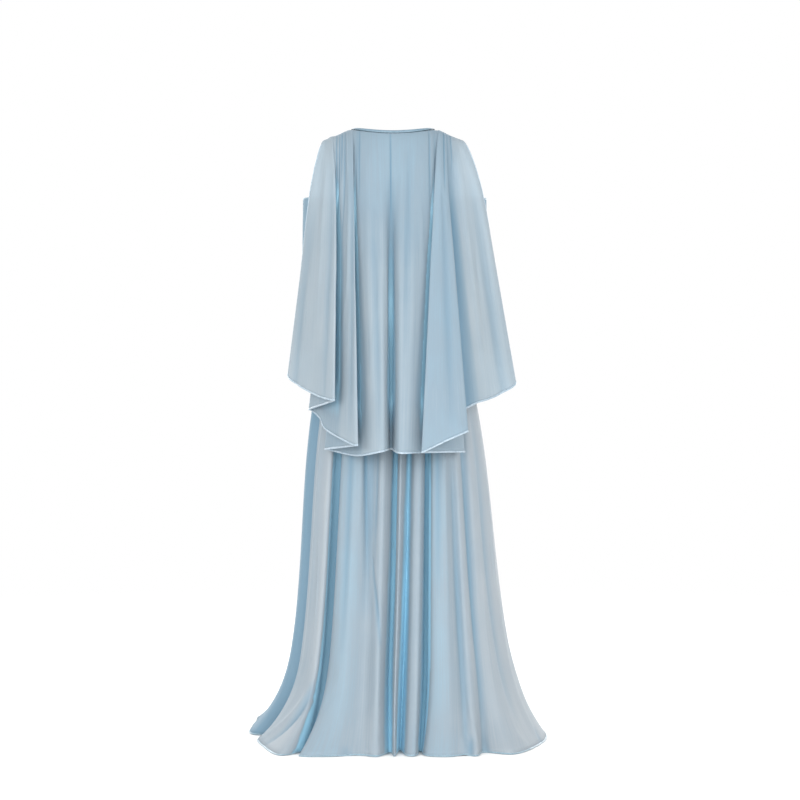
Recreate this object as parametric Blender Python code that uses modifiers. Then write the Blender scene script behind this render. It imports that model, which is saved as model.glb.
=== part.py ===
"""Maxi gown of pale blue chiffon with a back cape, worn with no wearer showing.

Metres, +Z up. The front of the gown faces -Y, its back +Y, and the wearer's left is +X. The origin
is the middle of the shoulder line, where the wearer carries the gown, and the hem reaches the floor
at FLOOR_Z. Every cloth piece is a wall of even thickness through rows worked out from its sizes.
"""

import math

import bpy
import numpy as np

# Heights, from the origin on the shoulder line.
FLOOR_Z = -1.476
WAIST_Z = -0.400
UNDERARM_Z = -0.190
LOW_Z = -1.240  # where the skirt starts to spread onto the floor
SLEEVE_TOP_Z = -0.164
SLEEVE_END_Z = -0.530

WALL = 0.0012  # thickness of every cloth wall
SEAM_GAP = 0.0003
SEAM_OFFSET = 0.00024  # from a shoulder or side seam to the middle of the wall's edge, which leans a little

# Neck and shoulders.
NECK_HALF = 0.103
NECK_POINT_Z = 0.006
TIP_HALF = 0.169
SHOULDER_SLOPE = 0.386
BACK_NECK_DROP = 0.015
FRONT_NECK_DROP = 0.068
NECK_RISE = 0.031  # height of the unbroken shoulder line over the middle of the neck
SHOULDER_ROUND = 0.150  # the drop over which the chest and back come out to their full depth
SHOULDER_DROPS = (0.0, 0.0022, 0.0102, 0.0262, 0.051, 0.0885)  # levels below the top edge, in that curve
BODICE_FALLS = (0.14, 0.30, 0.47, 0.64, 0.82, 1.0)  # further levels, as parts of the way to the waist

# Places from the middle out at which the bodice's columns start on the neckline and the shoulder seam.
COLUMN_STARTS = (0.0, 0.022, 0.043, 0.062, 0.078, 0.090, 0.098, 0.103, 0.113, 0.126, 0.141, 0.156, 0.169)

# The general figure that the bodice is cut for. The edge turns from the armhole to the side seam.
TORSO_COLUMNS = ("z", "half_width", "back_depth", "front_depth")
TORSO = (
    (-0.400, 0.124, 0.088, 0.098),
    (-0.330, 0.130, 0.090, 0.104),
    (-0.260, 0.138, 0.096, 0.124),
    (-0.190, 0.138, 0.100, 0.112),
    (-0.150, 0.139, 0.100, 0.100),
    (-0.100, 0.147, 0.097, 0.094),
    (-0.060, 0.157, 0.095, 0.092),
    (-0.0195, 0.169, 0.095, 0.092),
    (0.040, 0.169, 0.095, 0.092),
)
ARMHOLE_TURN = math.radians(56)

# The sleeve's width across the arm, from its inner to its outer side, on each side of the gown.
SLEEVE_COLUMNS = ("z", "left_inner", "left_outer", "right_inner", "right_outer", "middle_y", "half_depth")
SLEEVE = (
    (-0.530, 0.171, 0.237, 0.187, 0.262, -0.012, 0.042),
    (-0.450, 0.157, 0.229, 0.168, 0.247, -0.006, 0.041),
    (-0.330, 0.146, 0.2225, 0.150, 0.235, 0.000, 0.041),
    (-0.215, 0.1395, 0.2210, 0.1395, 0.2300, 0.000, 0.042),
    (-0.164, 0.1395, 0.2205, 0.1395, 0.2285, 0.000, 0.042),
)

SLEEVE_LEVELS = 8
SLEEVE_SIDES = 24

# The cape, a row for each fold or edge from the wearer's left to the right. top_x is its place on
# the shoulder and neck seam, then come its place at the shoulder blades and at the hem. A lift is
# how far the fold's layer stands off the figure there.
CAPE_COLUMNS = ("fold", "turn_radius", "top_x", "top_lift", "blade_x", "blade_lift", "hem_x", "hem_y", "hem_z")
CAPE = (
    ("left front edge", 0, 0.1690, 0.0000, 0.209, 0.003, 0.250, -0.020, -0.583),
    ("left outer turn", 0, 0.1650, 0.0000, 0.203, 0.004, 0.258, 0.014, -0.596),
    ("left soft valley", 0, 0.1600, 0.0000, 0.180, 0.002, 0.200, 0.135, -0.633),
    ("left ridge", 0.002, 0.1510, 0.0018, 0.137, 0.016, 0.137, 0.236, -0.655),
    ("left inner turn", 0.002, 0.1440, 0.0000, 0.139, 0.005, 0.201, 0.090, -0.678),
    ("left small step", 0, 0.1310, 0.0000, 0.131, 0.003, 0.174, 0.126, -0.699),
    ("left small ridge", 0, 0.1240, 0.0010, 0.124, 0.006, 0.166, 0.146, -0.717),
    ("left panel", 0, 0.1120, 0.0010, 0.109, 0.010, 0.124, 0.222, -0.743),
    ("left pleat edge", 0.002, 0.1000, 0.0022, 0.094, 0.014, 0.082, 0.272, -0.760),
    ("left pleat inner turn", 0.002, 0.0930, 0.0000, 0.104, 0.004, 0.161, 0.132, -0.773),
    ("left pleat outer turn", 0, 0.0870, 0.0000, 0.093, 0.000, 0.101, 0.184, -0.785),
    ("left of middle", 0, 0.0760, 0.0000, 0.076, 0.002, 0.071, 0.232, -0.785),
    ("middle left ridge", 0, 0.0320, 0.0000, 0.028, 0.009, 0.022, 0.262, -0.775),
    ("middle recess", 0, 0.0040, 0.0000, 0.004, 0.001, 0.004, 0.196, -0.771),
    ("middle right ridge", 0, -0.0220, 0.0000, -0.021, 0.009, -0.016, 0.262, -0.778),
    ("right of middle", 0, -0.0700, 0.0000, -0.068, 0.003, -0.054, 0.250, -0.777),
    ("right pleat outer turn", 0.002, -0.1060, 0.0000, -0.112, 0.000, -0.170, 0.142, -0.778),
    ("right pleat edge", 0.002, -0.1130, 0.0022, -0.099, 0.012, -0.068, 0.288, -0.776),
    ("right ridge", 0.002, -0.1270, 0.0014, -0.134, 0.014, -0.175, 0.254, -0.729),
    ("right ridge return", 0.002, -0.1330, 0.0005, -0.138, 0.006, -0.141, 0.214, -0.692),
    ("right valley", 0, -0.1420, 0.0000, -0.152, 0.002, -0.203, 0.118, -0.661),
    ("right outer panel", 0, -0.1520, 0.0000, -0.189, 0.003, -0.243, 0.072, -0.642),
    ("right outer turn", 0, -0.1640, 0.0000, -0.2235, 0.004, -0.301, 0.014, -0.614),
    ("right front edge", 0, -0.1690, 0.0000, -0.2275, 0.003, -0.286, -0.024, -0.602),
)
BLADE_DROP = 0.165  # how far the shoulder blades are below the cape's seam
OVER_SHOULDER = 0.7  # power of the drop at which a fold moves outwards down to there
CAPE_DROPS = (*SHOULDER_DROPS, 0.125)  # levels above the blades
CAPE_HANGS = (0.0, 0.14, 0.32, 0.52, 0.75, 1.0)  # the others, as parts of the way from them to the hem
CAPE_CLEARANCE = 0.00055  # between the walls' faces at the shoulder seam, with more at the neck and below
NECK_CLEARANCE = 0.0006
BACK_CLEARANCE = 0.0012
CLEARANCE_DROP = 0.010
NECK_EASE = 0.010  # along the shoulder, where the cape's edge rises from behind the binding to the seam
CAPE_BELOW_BINDING = 0.001
SHOULDER_SPAN_COLUMNS = ("z", "left", "right")  # outer sides of the rounded shoulders and upper arms
SHOULDER_SPAN = (
    (-0.3000, 0.2245, 0.2420),
    (-0.1640, 0.2215, 0.2370),
    (-0.1000, 0.2150, 0.2310),
    (-0.0600, 0.2080, 0.2180),
    (-0.0195, 0.2060, 0.2060),
    (0.0400, 0.2060, 0.2060),
)

# The skirt, a row for each fold round the whole hem: the back from the wearer's left to the right,
# then the front. waist_deg is its place on the waist, 0 at the middle of the back, from where it
# hangs to its place at LOW_Z and then to its hem. hip is how far it stands out over the hips, as a
# part of its way from the waist to LOW_Z.
SKIRT_COLUMNS = ("fold", "waist_deg", "hip", "low_x", "low_y", "hem_x", "hem_y")
SKIRT_BACK = (
    ("left side seam", 92, 0.28, 0.247, -0.030, 0.356, -0.130),
    ("left side fold", 80, 0.28, 0.240, 0.016, 0.347, -0.010),
    ("left tuck", 72, 0.25, 0.208, 0.040, 0.290, 0.012),
    ("left ridge edge", 63, 0.24, 0.216, 0.088, 0.326, 0.050),
    ("left ridge", 56, 0.23, 0.190, 0.141, 0.308, 0.172),
    ("left ridge side", 50, 0.22, 0.176, 0.152, 0.258, 0.292),
    ("left valley", 42, 0.19, 0.155, 0.128, 0.196, 0.232),
    ("left panel edge", 38, 0.18, 0.142, 0.172, 0.216, 0.300),
    ("left panel", 28, 0.16, 0.110, 0.200, 0.148, 0.306),
    ("left soft valley", 14, 0.16, 0.063, 0.190, 0.076, 0.290),
    ("left middle ridge", 2, 0.16, 0.033, 0.218, 0.037, 0.308),
    ("middle tuck", -11, 0.16, 0.004, 0.162, 0.006, 0.262),
    ("middle ridge", -17, 0.16, -0.008, 0.206, -0.004, 0.303),
    ("middle valley", -28, 0.16, -0.027, 0.155, -0.017, 0.238),
    ("right middle ridge", -33, 0.16, -0.044, 0.200, -0.034, 0.297),
    ("right middle ridge side", -39, 0.16, -0.059, 0.204, -0.050, 0.302),
    ("right recess", -48, 0.16, -0.078, 0.146, -0.064, 0.246),
    ("right panel edge", -53, 0.16, -0.094, 0.200, -0.078, 0.296),
    ("right panel", -59, 0.16, -0.127, 0.208, -0.127, 0.308),
    ("right soft valley", -65, 0.16, -0.160, 0.180, -0.168, 0.290),
    ("right small ridge", -70, 0.16, -0.177, 0.178, -0.194, 0.300),
    ("right valley", -75, 0.16, -0.199, 0.145, -0.214, 0.252),
    ("right side panel", -80, 0.19, -0.229, 0.122, -0.278, 0.277),
    ("right side panel front", -86, 0.20, -0.261, 0.062, -0.348, 0.150),
    ("right corner", -92, 0.20, -0.281, 0.000, -0.375, 0.032),
)
SKIRT_FRONT = (
    ("right side seam", -98, 0.20, -0.276, -0.050, -0.370, -0.075),
    ("front right ridge", -112, 0.16, -0.246, -0.122, -0.332, -0.195),
    ("front right valley", -124, 0.16, -0.200, -0.128, -0.268, -0.212),
    ("front right second ridge", -136, 0.16, -0.172, -0.185, -0.232, -0.285),
    ("front right second valley", -150, 0.16, -0.115, -0.158, -0.150, -0.250),
    ("front middle right ridge", -163, 0.16, -0.078, -0.210, -0.102, -0.312),
    ("front middle valley", -177, 0.16, -0.012, -0.172, -0.015, -0.268),
    ("front middle left ridge", -190, 0.16, 0.044, -0.216, 0.060, -0.318),
    ("front left second valley", -205, 0.16, 0.098, -0.168, 0.132, -0.262),
    ("front left second ridge", -218, 0.19, 0.148, -0.194, 0.205, -0.310),
    ("front left valley", -232, 0.22, 0.182, -0.138, 0.256, -0.240),
    ("front left ridge", -246, 0.25, 0.224, -0.125, 0.344, -0.300),
    ("front left side", -258, 0.27, 0.240, -0.070, 0.352, -0.200),
)
HIP_SCALE = 6.75  # makes the bulge over the hips 1 where it is widest
FLOOR_SPREAD = 2.6  # power at which the hem runs out onto the floor
SKIRT_HEIGHTS = (-0.440, -0.500, -0.590, -0.700, -0.840, -1.000, -1.150, -1.270, -1.365, -1.435)

WAIST_SEAM = 0.005  # height of the straight edge of the skirt at the waist
SEAM_STRIP = 0.0025  # width of the flat strip of a skirt panel beside its side seam
BINDING_HEIGHT = 0.007
BINDING_SHOULDER = 0.0052  # height up to which the band's sides are straight
BINDING_THICKNESS = 0.0048
BINDING_INSIDE = 0.0018  # how much of its thickness lies inside the neckline

# Parts of the way from one row to the next at which a wall has a point.
SPAN_STEPS = (0.0, 0.3, 0.7)
TURN_STEPS = (0.0, 0.5)
TURN_SHARE = 0.25  # most of the way to the next row that half a turn takes

CHIFFON_BLUE = (0.42, 0.53, 0.62, 1.0)
BODICE_BLUE = (0.38, 0.50, 0.60, 1.0)
HEM_BLUE = (0.62, 0.71, 0.79, 1.0)


def start_empty():
    """Removes what the scene holds and makes the gown's collection."""
    for old in list(bpy.data.objects):
        bpy.data.objects.remove(old)
    gown = bpy.data.collections.new("maxi_gown")
    bpy.context.scene.collection.children.link(gown)
    return gown


def cloth_material(name, colour, roughness):
    material = bpy.data.materials.new(name)
    material.use_nodes = True
    shader = material.node_tree.nodes["Principled BSDF"]
    shader.inputs["Base Color"].default_value = colour
    shader.inputs["Roughness"].default_value = roughness
    shader.inputs["Metallic"].default_value = 0.0
    return material


def column(table, number):
    return np.array([row[number] for row in table], float)


def unit(vectors):
    return vectors / (np.linalg.norm(vectors, axis=-1, keepdims=True) + 1e-12)


def split_turns(values, radii):
    """Makes two rows of each that has a radius, so that the cloth goes round its fold and isn't creased
    flat. The first two values of a row are its plan. Also gives the steps for the span after each row."""
    plan = values[:, :2]
    split, spans = [], []
    for i, radius in enumerate(radii):
        if radius == 0:
            split.append(values[i])
            spans.append(SPAN_STEPS)
            continue
        back, on = plan[i - 1] - plan[i], plan[i + 1] - plan[i]
        room = min(radius, TURN_SHARE * min(np.linalg.norm(back), np.linalg.norm(on)))
        across = unit(unit(on) - unit(back)) * room
        for side in (-1, 1):
            row = values[i].copy()
            row[:2] += side * across
            split.append(row)
        spans += [TURN_STEPS, SPAN_STEPS]
    return np.array(split), spans


def through_rows(values, steps, closed):
    """Points on the centripetal Catmull-Rom curve through the rows of values, at the given steps in each
    span. The first two values of a row are its plan, in which the spacing of the rows is measured."""
    count = len(values)
    if closed:
        padded = np.concatenate([values[-1:], values, values[:2]])
    else:
        padded = np.concatenate([2 * values[:1] - values[1:2], values, 2 * values[-1:] - values[-2:-1]])
    knots = np.sqrt(np.linalg.norm(np.diff(padded[:, :2], axis=0), axis=1))[:, None] + 1e-6
    speed = np.diff(padded, axis=0) / knots
    through = (padded[2:] - padded[:-2]) / (knots[1:] + knots[:-1])
    tangents = speed[:-1] - through + speed[1:]
    sampled = []
    for span in range(count if closed else count - 1):
        start, end = padded[span + 1], padded[span + 2]
        leave, arrive = tangents[span] * knots[span + 1], tangents[span + 1] * knots[span + 1]
        t = np.array(steps[span])[:, None]
        sampled.append(
            (2 * t**3 - 3 * t**2 + 1) * start
            + (t**3 - 2 * t**2 + t) * leave
            + (3 * t**2 - 2 * t**3) * end
            + (t**3 - t**2) * arrive
        )
    if not closed:
        sampled.append(values[-1:])
    return np.concatenate(sampled)


def smooth_step(low, high, x):
    t = np.clip((x - low) / (high - low), 0.0, 1.0)
    return t * t * (3 - 2 * t)


def cloth(name, grid, material, gown, closed=False):
    """A wall of WALL thickness through a grid of points, level by level, each level a row of points."""
    levels, across = grid.shape[:2]
    spans = across if closed else across - 1
    faces = []
    for level in range(levels - 1):
        for i in range(spans):
            a, b = level * across + i, level * across + (i + 1) % across
            faces.append((a, a + across, b + across, b))
    mesh = bpy.data.meshes.new(name)
    mesh.from_pydata(grid.reshape(-1, 3).tolist(), [], faces)
    mesh.materials.append(material)
    wall = bpy.data.objects.new(name, mesh)
    gown.objects.link(wall)
    thicken = wall.modifiers.new("wall", "SOLIDIFY")
    thicken.thickness = WALL
    thicken.offset = 0.0
    thicken.use_even_offset = True
    mesh.shade_smooth()


# Bodice

def shoulder_line(x):
    """Height of the shoulder seam at x, carried on over the neck."""
    beside = NECK_POINT_Z - SHOULDER_SLOPE * (np.abs(x) - NECK_HALF)
    over_neck = NECK_POINT_Z + NECK_RISE * (1 - (x / NECK_HALF) ** 2)
    return np.where(np.abs(x) < NECK_HALF, over_neck, beside)


def top_edge(x, neck_drop):
    """Height of a panel's upper edge: the neckline between the neck points, then the shoulder seam."""
    neckline = NECK_POINT_Z - neck_drop * (1 - (x / NECK_HALF) ** 2)
    return np.where(np.abs(x) < NECK_HALF, neckline, shoulder_line(x))


def torso_size(z, name):
    return np.interp(z, column(TORSO, 0), column(TORSO, TORSO_COLUMNS.index(name)))


def edge_turn(z):
    """Angle round the figure at which a panel ends: a quarter turn at the side seam, less at the armhole."""
    below = smooth_step(-0.100, UNDERARM_Z, z)
    return ARMHOLE_TURN + (math.pi / 2 - ARMHOLE_TURN) * below


def torso_y(x, z, depth_name, side):
    """Place of the figure's front or back surface at x and z. side is 1 at the back and -1 in front."""
    turn = edge_turn(z)
    share = np.clip(np.abs(x) / torso_size(z, "half_width"), 0.0, 1.0) * np.sin(turn)
    drop = np.clip((shoulder_line(x) - z) / SHOULDER_ROUND, 0.0, 1.0)
    rounded = np.sqrt(1 - (1 - drop) ** 2)
    return side * (SEAM_OFFSET + torso_size(z, depth_name) * np.sqrt(1 - share**2) * rounded)


def both_sides(starts):
    """Distances from the middle out, as places from the wearer's right to the left."""
    return np.array([-start for start in starts[:0:-1]] + list(starts))


def bodice_grid(side, depth_name, neck_drop):
    """Columns from side to side, each from the top edge down to the waist, closer together where it curves."""
    starts = both_sides(COLUMN_STARTS)
    grid = np.zeros((len(SHOULDER_DROPS) + len(BODICE_FALLS), len(starts), 3))
    for i, start in enumerate(starts):
        top = float(top_edge(start, neck_drop))
        share = math.asin(start / torso_size(top, "half_width") * math.sin(ARMHOLE_TURN)) / ARMHOLE_TURN
        upper = top - np.array(SHOULDER_DROPS)
        z = np.append(upper, upper[-1] + np.array(BODICE_FALLS) * (WAIST_Z - upper[-1]))
        turns = edge_turn(z)
        x = torso_size(z, "half_width") * np.sin(share * turns) / np.sin(turns)
        grid[:, i] = np.stack([x, torso_y(x, z, depth_name, side), z], axis=1)
    return grid if side > 0 else grid[:, ::-1]


def make_bodice(material, gown):
    cloth("bodice_back", bodice_grid(1, "back_depth", BACK_NECK_DROP), material, gown)
    cloth("bodice_front", bodice_grid(-1, "front_depth", FRONT_NECK_DROP), material, gown)


def neck_path():
    """The corners of the neckline's edge, at the back from the wearer's left to the right, then the front."""
    across = both_sides([start for start in COLUMN_STARTS if start <= NECK_HALF])
    back_x, front_x = across[::-1], across[1:-1]
    back_z, front_z = top_edge(back_x, BACK_NECK_DROP), top_edge(front_x, FRONT_NECK_DROP)
    back = np.stack([back_x, torso_y(back_x, back_z, "back_depth", 1), back_z], axis=1)
    front = np.stack([front_x, torso_y(front_x, front_z, "front_depth", -1), front_z], axis=1)
    back[[0, -1], 1] = 0.0
    return np.concatenate([back, front])


def make_neck_binding(material, gown):
    """A narrow folded band that stands on the neckline, over the edges of the bodice and the cape."""
    path = neck_path()
    along = unit(np.roll(path, -1, axis=0) - np.roll(path, 1, axis=0))
    sine = path[:, 0] / NECK_HALF
    up = np.stack([-sine, np.zeros(len(path)), np.sqrt(1 - sine**2)], axis=1)
    up = unit(up - along * (up * along).sum(axis=1, keepdims=True))
    out = unit(np.cross(along, up))
    base = SEAM_GAP + WALL / 4
    inside, outside = -BINDING_INSIDE, BINDING_THICKNESS - BINDING_INSIDE
    profile = (
        (inside, base),
        (outside, base),
        (outside, BINDING_SHOULDER),
        ((inside + outside) / 2, BINDING_HEIGHT),
        (inside, BINDING_SHOULDER),
    )
    points = np.stack([path + out * outward + up * upward for outward, upward in profile], axis=1)
    count, sides = points.shape[:2]
    faces = []
    for i in range(count):
        for j in range(sides):
            a, b = i * sides + j, i * sides + (j + 1) % sides
            c, d = ((i + 1) % count) * sides + (j + 1) % sides, ((i + 1) % count) * sides + j
            faces.append((d, c, b, a))
    mesh = bpy.data.meshes.new("neck_binding")
    mesh.from_pydata(points.reshape(-1, 3).tolist(), [], faces)
    mesh.materials.append(material)
    gown.objects.link(bpy.data.objects.new("neck_binding", mesh))


# Sleeves

def sleeve_size(z, name):
    return np.interp(z, column(SLEEVE, 0), column(SLEEVE, SLEEVE_COLUMNS.index(name)))


def make_sleeve(side_name, side, material, gown):
    """A tube round the upper arm and forearm, its top edge level and open below the bare shoulder."""
    heights = np.linspace(SLEEVE_TOP_Z, SLEEVE_END_Z, SLEEVE_LEVELS)
    turns = np.linspace(0, 2 * math.pi, SLEEVE_SIDES, endpoint=False)
    inner, outer = sleeve_size(heights, side_name + "_inner"), sleeve_size(heights, side_name + "_outer")
    middle, half = (inner + outer) / 2, (outer - inner) / 2
    x = side * (middle[:, None] + half[:, None] * np.sin(turns))
    y = sleeve_size(heights, "middle_y")[:, None] + sleeve_size(heights, "half_depth")[:, None] * np.cos(turns)
    z = np.broadcast_to(heights[:, None], x.shape)
    cloth("sleeve_" + side_name, np.stack([x, y, z], axis=2), material, gown, closed=True)


# Cape

def draped_y(x, z, lift):
    """How far back the cape lies at x and z where it rests on the back and the rounded shoulders."""
    heights = column(SHOULDER_SPAN, 0)
    left, right = np.interp(z, heights, column(SHOULDER_SPAN, 1)), np.interp(z, heights, column(SHOULDER_SPAN, 2))
    share = np.clip(np.abs(x) / (np.where(x >= 0, left, right) + lift), 0.0, 1.0)
    drop = np.clip((shoulder_line(x) + lift - z) / (SHOULDER_ROUND + lift), 0.0, 1.0)
    rounded = np.sqrt(1 - (1 - drop) ** 2)
    return SEAM_OFFSET + (torso_size(z, "back_depth") + lift) * np.sqrt(1 - share**2) * rounded


def resting_level(radii, rows, drop):
    """The cape's points at a drop below its seam, where its folds lie over the figure's back."""
    top_x, top_lift, blade_x, blade_lift = rows[:, :4].T
    down = drop / BLADE_DROP
    x = top_x + (blade_x - top_x) * down**OVER_SHOULDER
    folds, steps = split_turns(np.stack([x, top_lift + (blade_lift - top_lift) * down, top_x], axis=1), radii)
    x, lift, top_x = through_rows(folds, steps, closed=False).T
    on_seam = smooth_step(NECK_HALF, NECK_HALF + NECK_EASE, np.abs(top_x))
    clear = CAPE_CLEARANCE + (1 - on_seam) * NECK_CLEARANCE + BACK_CLEARANCE * min(drop / CLEARANCE_DROP, 1)
    lift = lift + WALL + clear
    edge_z = top_edge(top_x, BACK_NECK_DROP) + on_seam * lift - (1 - on_seam) * CAPE_BELOW_BINDING
    z = edge_z - drop - on_seam * lift * down
    return np.stack([x, draped_y(x, z, lift), z], axis=1)


def cape_grid():
    """Each fold rests on the back down to the shoulder blades, and from there hangs straight to its hem."""
    radii = column(CAPE, 1)
    rows = np.array([row[2:] for row in CAPE], float)
    levels = [resting_level(radii, rows, drop) for drop in CAPE_DROPS]
    blade = resting_level(radii, rows, BLADE_DROP)
    hem = through_rows(*split_turns(rows[:, 4:], radii), closed=False)
    return np.stack(levels + [blade + (hem - blade) * hang for hang in CAPE_HANGS])


def make_cape(material, gown):
    cloth("cape", cape_grid(), material, gown)


# Skirt

def skirt_level(rows, height):
    """A ring of points. Each fold moves out from the waist to its place at LOW_Z, then out on the floor."""
    turns, hip, low, hem = np.radians(rows[:, 0]), rows[:, 1:2], rows[:, 2:4], rows[:, 4:6]
    depth = np.where(np.cos(turns) > 0, torso_size(WAIST_Z, "back_depth"), torso_size(WAIST_Z, "front_depth"))
    waist = np.stack([torso_size(WAIST_Z, "half_width") * np.sin(turns), depth * np.cos(turns)], axis=1)
    flare_z = WAIST_Z - WAIST_SEAM
    fall = max((flare_z - height) / (flare_z - LOW_Z), 0.0)
    full_fall = (flare_z - FLOOR_Z) / (flare_z - LOW_Z)
    over_hips = HIP_SCALE * min(fall, 1.0) * (1 - min(fall, 1.0)) ** 2
    hanging = waist + (low - waist) * (fall + hip * over_hips)
    run_out = hem - (waist + (low - waist) * full_fall)
    spread = max((LOW_Z - height) / (LOW_Z - FLOOR_Z), 0.0) ** FLOOR_SPREAD
    plan = through_rows(hanging + run_out * spread, [SPAN_STEPS] * len(rows), closed=True)
    return np.column_stack([plan, np.full(len(plan), height)])


def seam_edge(before, seam, after, toward):
    """The last two columns of a panel at a seam: a flat strip beside it and the edge half a gap from it."""
    along = unit(after - before) * toward
    return seam + along * SEAM_STRIP, seam + along * SEAM_GAP / 2


def make_skirt(material, gown):
    rows = np.array([row[1:] for row in SKIRT_BACK + SKIRT_FRONT], float)
    heights = (WAIST_Z - SEAM_GAP, WAIST_Z - WAIST_SEAM, *SKIRT_HEIGHTS, FLOOR_Z + WALL / 2)
    grid = np.stack([skirt_level(rows, height) for height in heights])
    around = grid.shape[1]
    seams = (0, len(SKIRT_BACK) * len(SPAN_STEPS))
    for name, start, end in (("skirt_back", seams[0], seams[1]), ("skirt_front", seams[1], around)):
        first, last = start % around, end % around
        opening = seam_edge(grid[:, first - 1], grid[:, first], grid[:, first + 1], 1)
        closing = seam_edge(grid[:, last - 1], grid[:, last], grid[:, last + 1], -1)
        inner = [grid[:, i] for i in range(start + 1, end)]
        columns = [opening[1], opening[0], *inner, closing[0], closing[1]]
        cloth(name, np.stack(columns, axis=1), material, gown)


def main():
    gown = start_empty()
    chiffon = cloth_material("pale blue chiffon", CHIFFON_BLUE, 0.75)
    lined = cloth_material("pale blue bodice cloth", BODICE_BLUE, 0.70)
    rolled = cloth_material("rolled chiffon edge", HEM_BLUE, 0.55)
    make_bodice(lined, gown)
    make_neck_binding(rolled, gown)
    for side_name, side in (("left", 1), ("right", -1)):
        make_sleeve(side_name, side, chiffon, gown)
    make_cape(chiffon, gown)
    make_skirt(chiffon, gown)


main()
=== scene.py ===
"""Looks of a floor-length gown of pale blue chiffon with a loose back cape, in the shape it has when worn.

Metres, +Z up. The front of the gown faces -Y, its back +Y, and the wearer's left is +X. Every cloth
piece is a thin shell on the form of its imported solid, worked out at a finer step from the same sizes,
with the smaller creases, gathers, hems and stitches that the solids leave out.
"""

import math

import bpy
import numpy as np
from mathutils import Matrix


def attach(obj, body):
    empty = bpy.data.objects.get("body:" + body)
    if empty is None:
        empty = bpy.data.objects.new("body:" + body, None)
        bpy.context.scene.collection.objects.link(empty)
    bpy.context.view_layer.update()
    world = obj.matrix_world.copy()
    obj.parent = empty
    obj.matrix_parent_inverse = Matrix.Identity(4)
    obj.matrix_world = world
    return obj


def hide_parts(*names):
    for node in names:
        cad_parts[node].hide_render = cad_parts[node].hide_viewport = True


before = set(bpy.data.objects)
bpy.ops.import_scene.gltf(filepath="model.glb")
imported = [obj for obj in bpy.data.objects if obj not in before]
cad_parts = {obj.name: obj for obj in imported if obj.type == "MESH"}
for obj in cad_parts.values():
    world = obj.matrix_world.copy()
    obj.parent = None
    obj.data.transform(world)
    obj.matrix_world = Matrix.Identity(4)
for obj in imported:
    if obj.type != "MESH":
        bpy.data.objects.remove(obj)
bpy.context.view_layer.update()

# Heights, from the origin on the shoulder line.
FLOOR_Z = -1.476
WAIST_Z = -0.400
UNDERARM_Z = -0.190
LOW_Z = -1.240
SLEEVE_TOP_Z = -0.164
SLEEVE_END_Z = -0.530

WALL = 0.0012  # the solids' wall, which the clearances between layers allow for
CLOTH = 0.0006  # thickness of the shells, since chiffon is thinner than the solids
SEAM_GAP = 0.0003
SEAM_OFFSET = 0.00024

# Neck and shoulders.
NECK_HALF = 0.103
NECK_POINT_Z = 0.006
TIP_HALF = 0.169
SHOULDER_SLOPE = 0.386
BACK_NECK_DROP = 0.015
FRONT_NECK_DROP = 0.068
NECK_RISE = 0.031
SHOULDER_ROUND = 0.150
SHOULDER_FALL = 0.0885  # drop over which the bodice's levels are closer together
ARMHOLE_TURN = math.radians(56)
ARMHOLE_LOW_Z = -0.100  # where the armhole's edge starts to run out to the side seam

# The form under the cloth, by height.
TORSO_COLUMNS = ("z", "half_width", "back_depth", "front_depth")
TORSO = (
    (-0.400, 0.124, 0.088, 0.098),
    (-0.330, 0.130, 0.090, 0.104),
    (-0.260, 0.138, 0.096, 0.124),
    (-0.190, 0.138, 0.100, 0.112),
    (-0.150, 0.139, 0.100, 0.100),
    (-0.100, 0.147, 0.097, 0.094),
    (-0.060, 0.157, 0.095, 0.092),
    (-0.0195, 0.169, 0.095, 0.092),
    (0.040, 0.169, 0.095, 0.092),
)

SLEEVE_COLUMNS = ("z", "left_inner", "left_outer", "right_inner", "right_outer", "middle_y", "half_depth")
SLEEVE = (
    (-0.530, 0.171, 0.237, 0.187, 0.262, -0.012, 0.042),
    (-0.450, 0.157, 0.229, 0.168, 0.247, -0.006, 0.041),
    (-0.330, 0.146, 0.2225, 0.150, 0.235, 0.000, 0.041),
    (-0.215, 0.1395, 0.2210, 0.1395, 0.2300, 0.000, 0.042),
    (-0.164, 0.1395, 0.2205, 0.1395, 0.2285, 0.000, 0.042),
)

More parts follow.
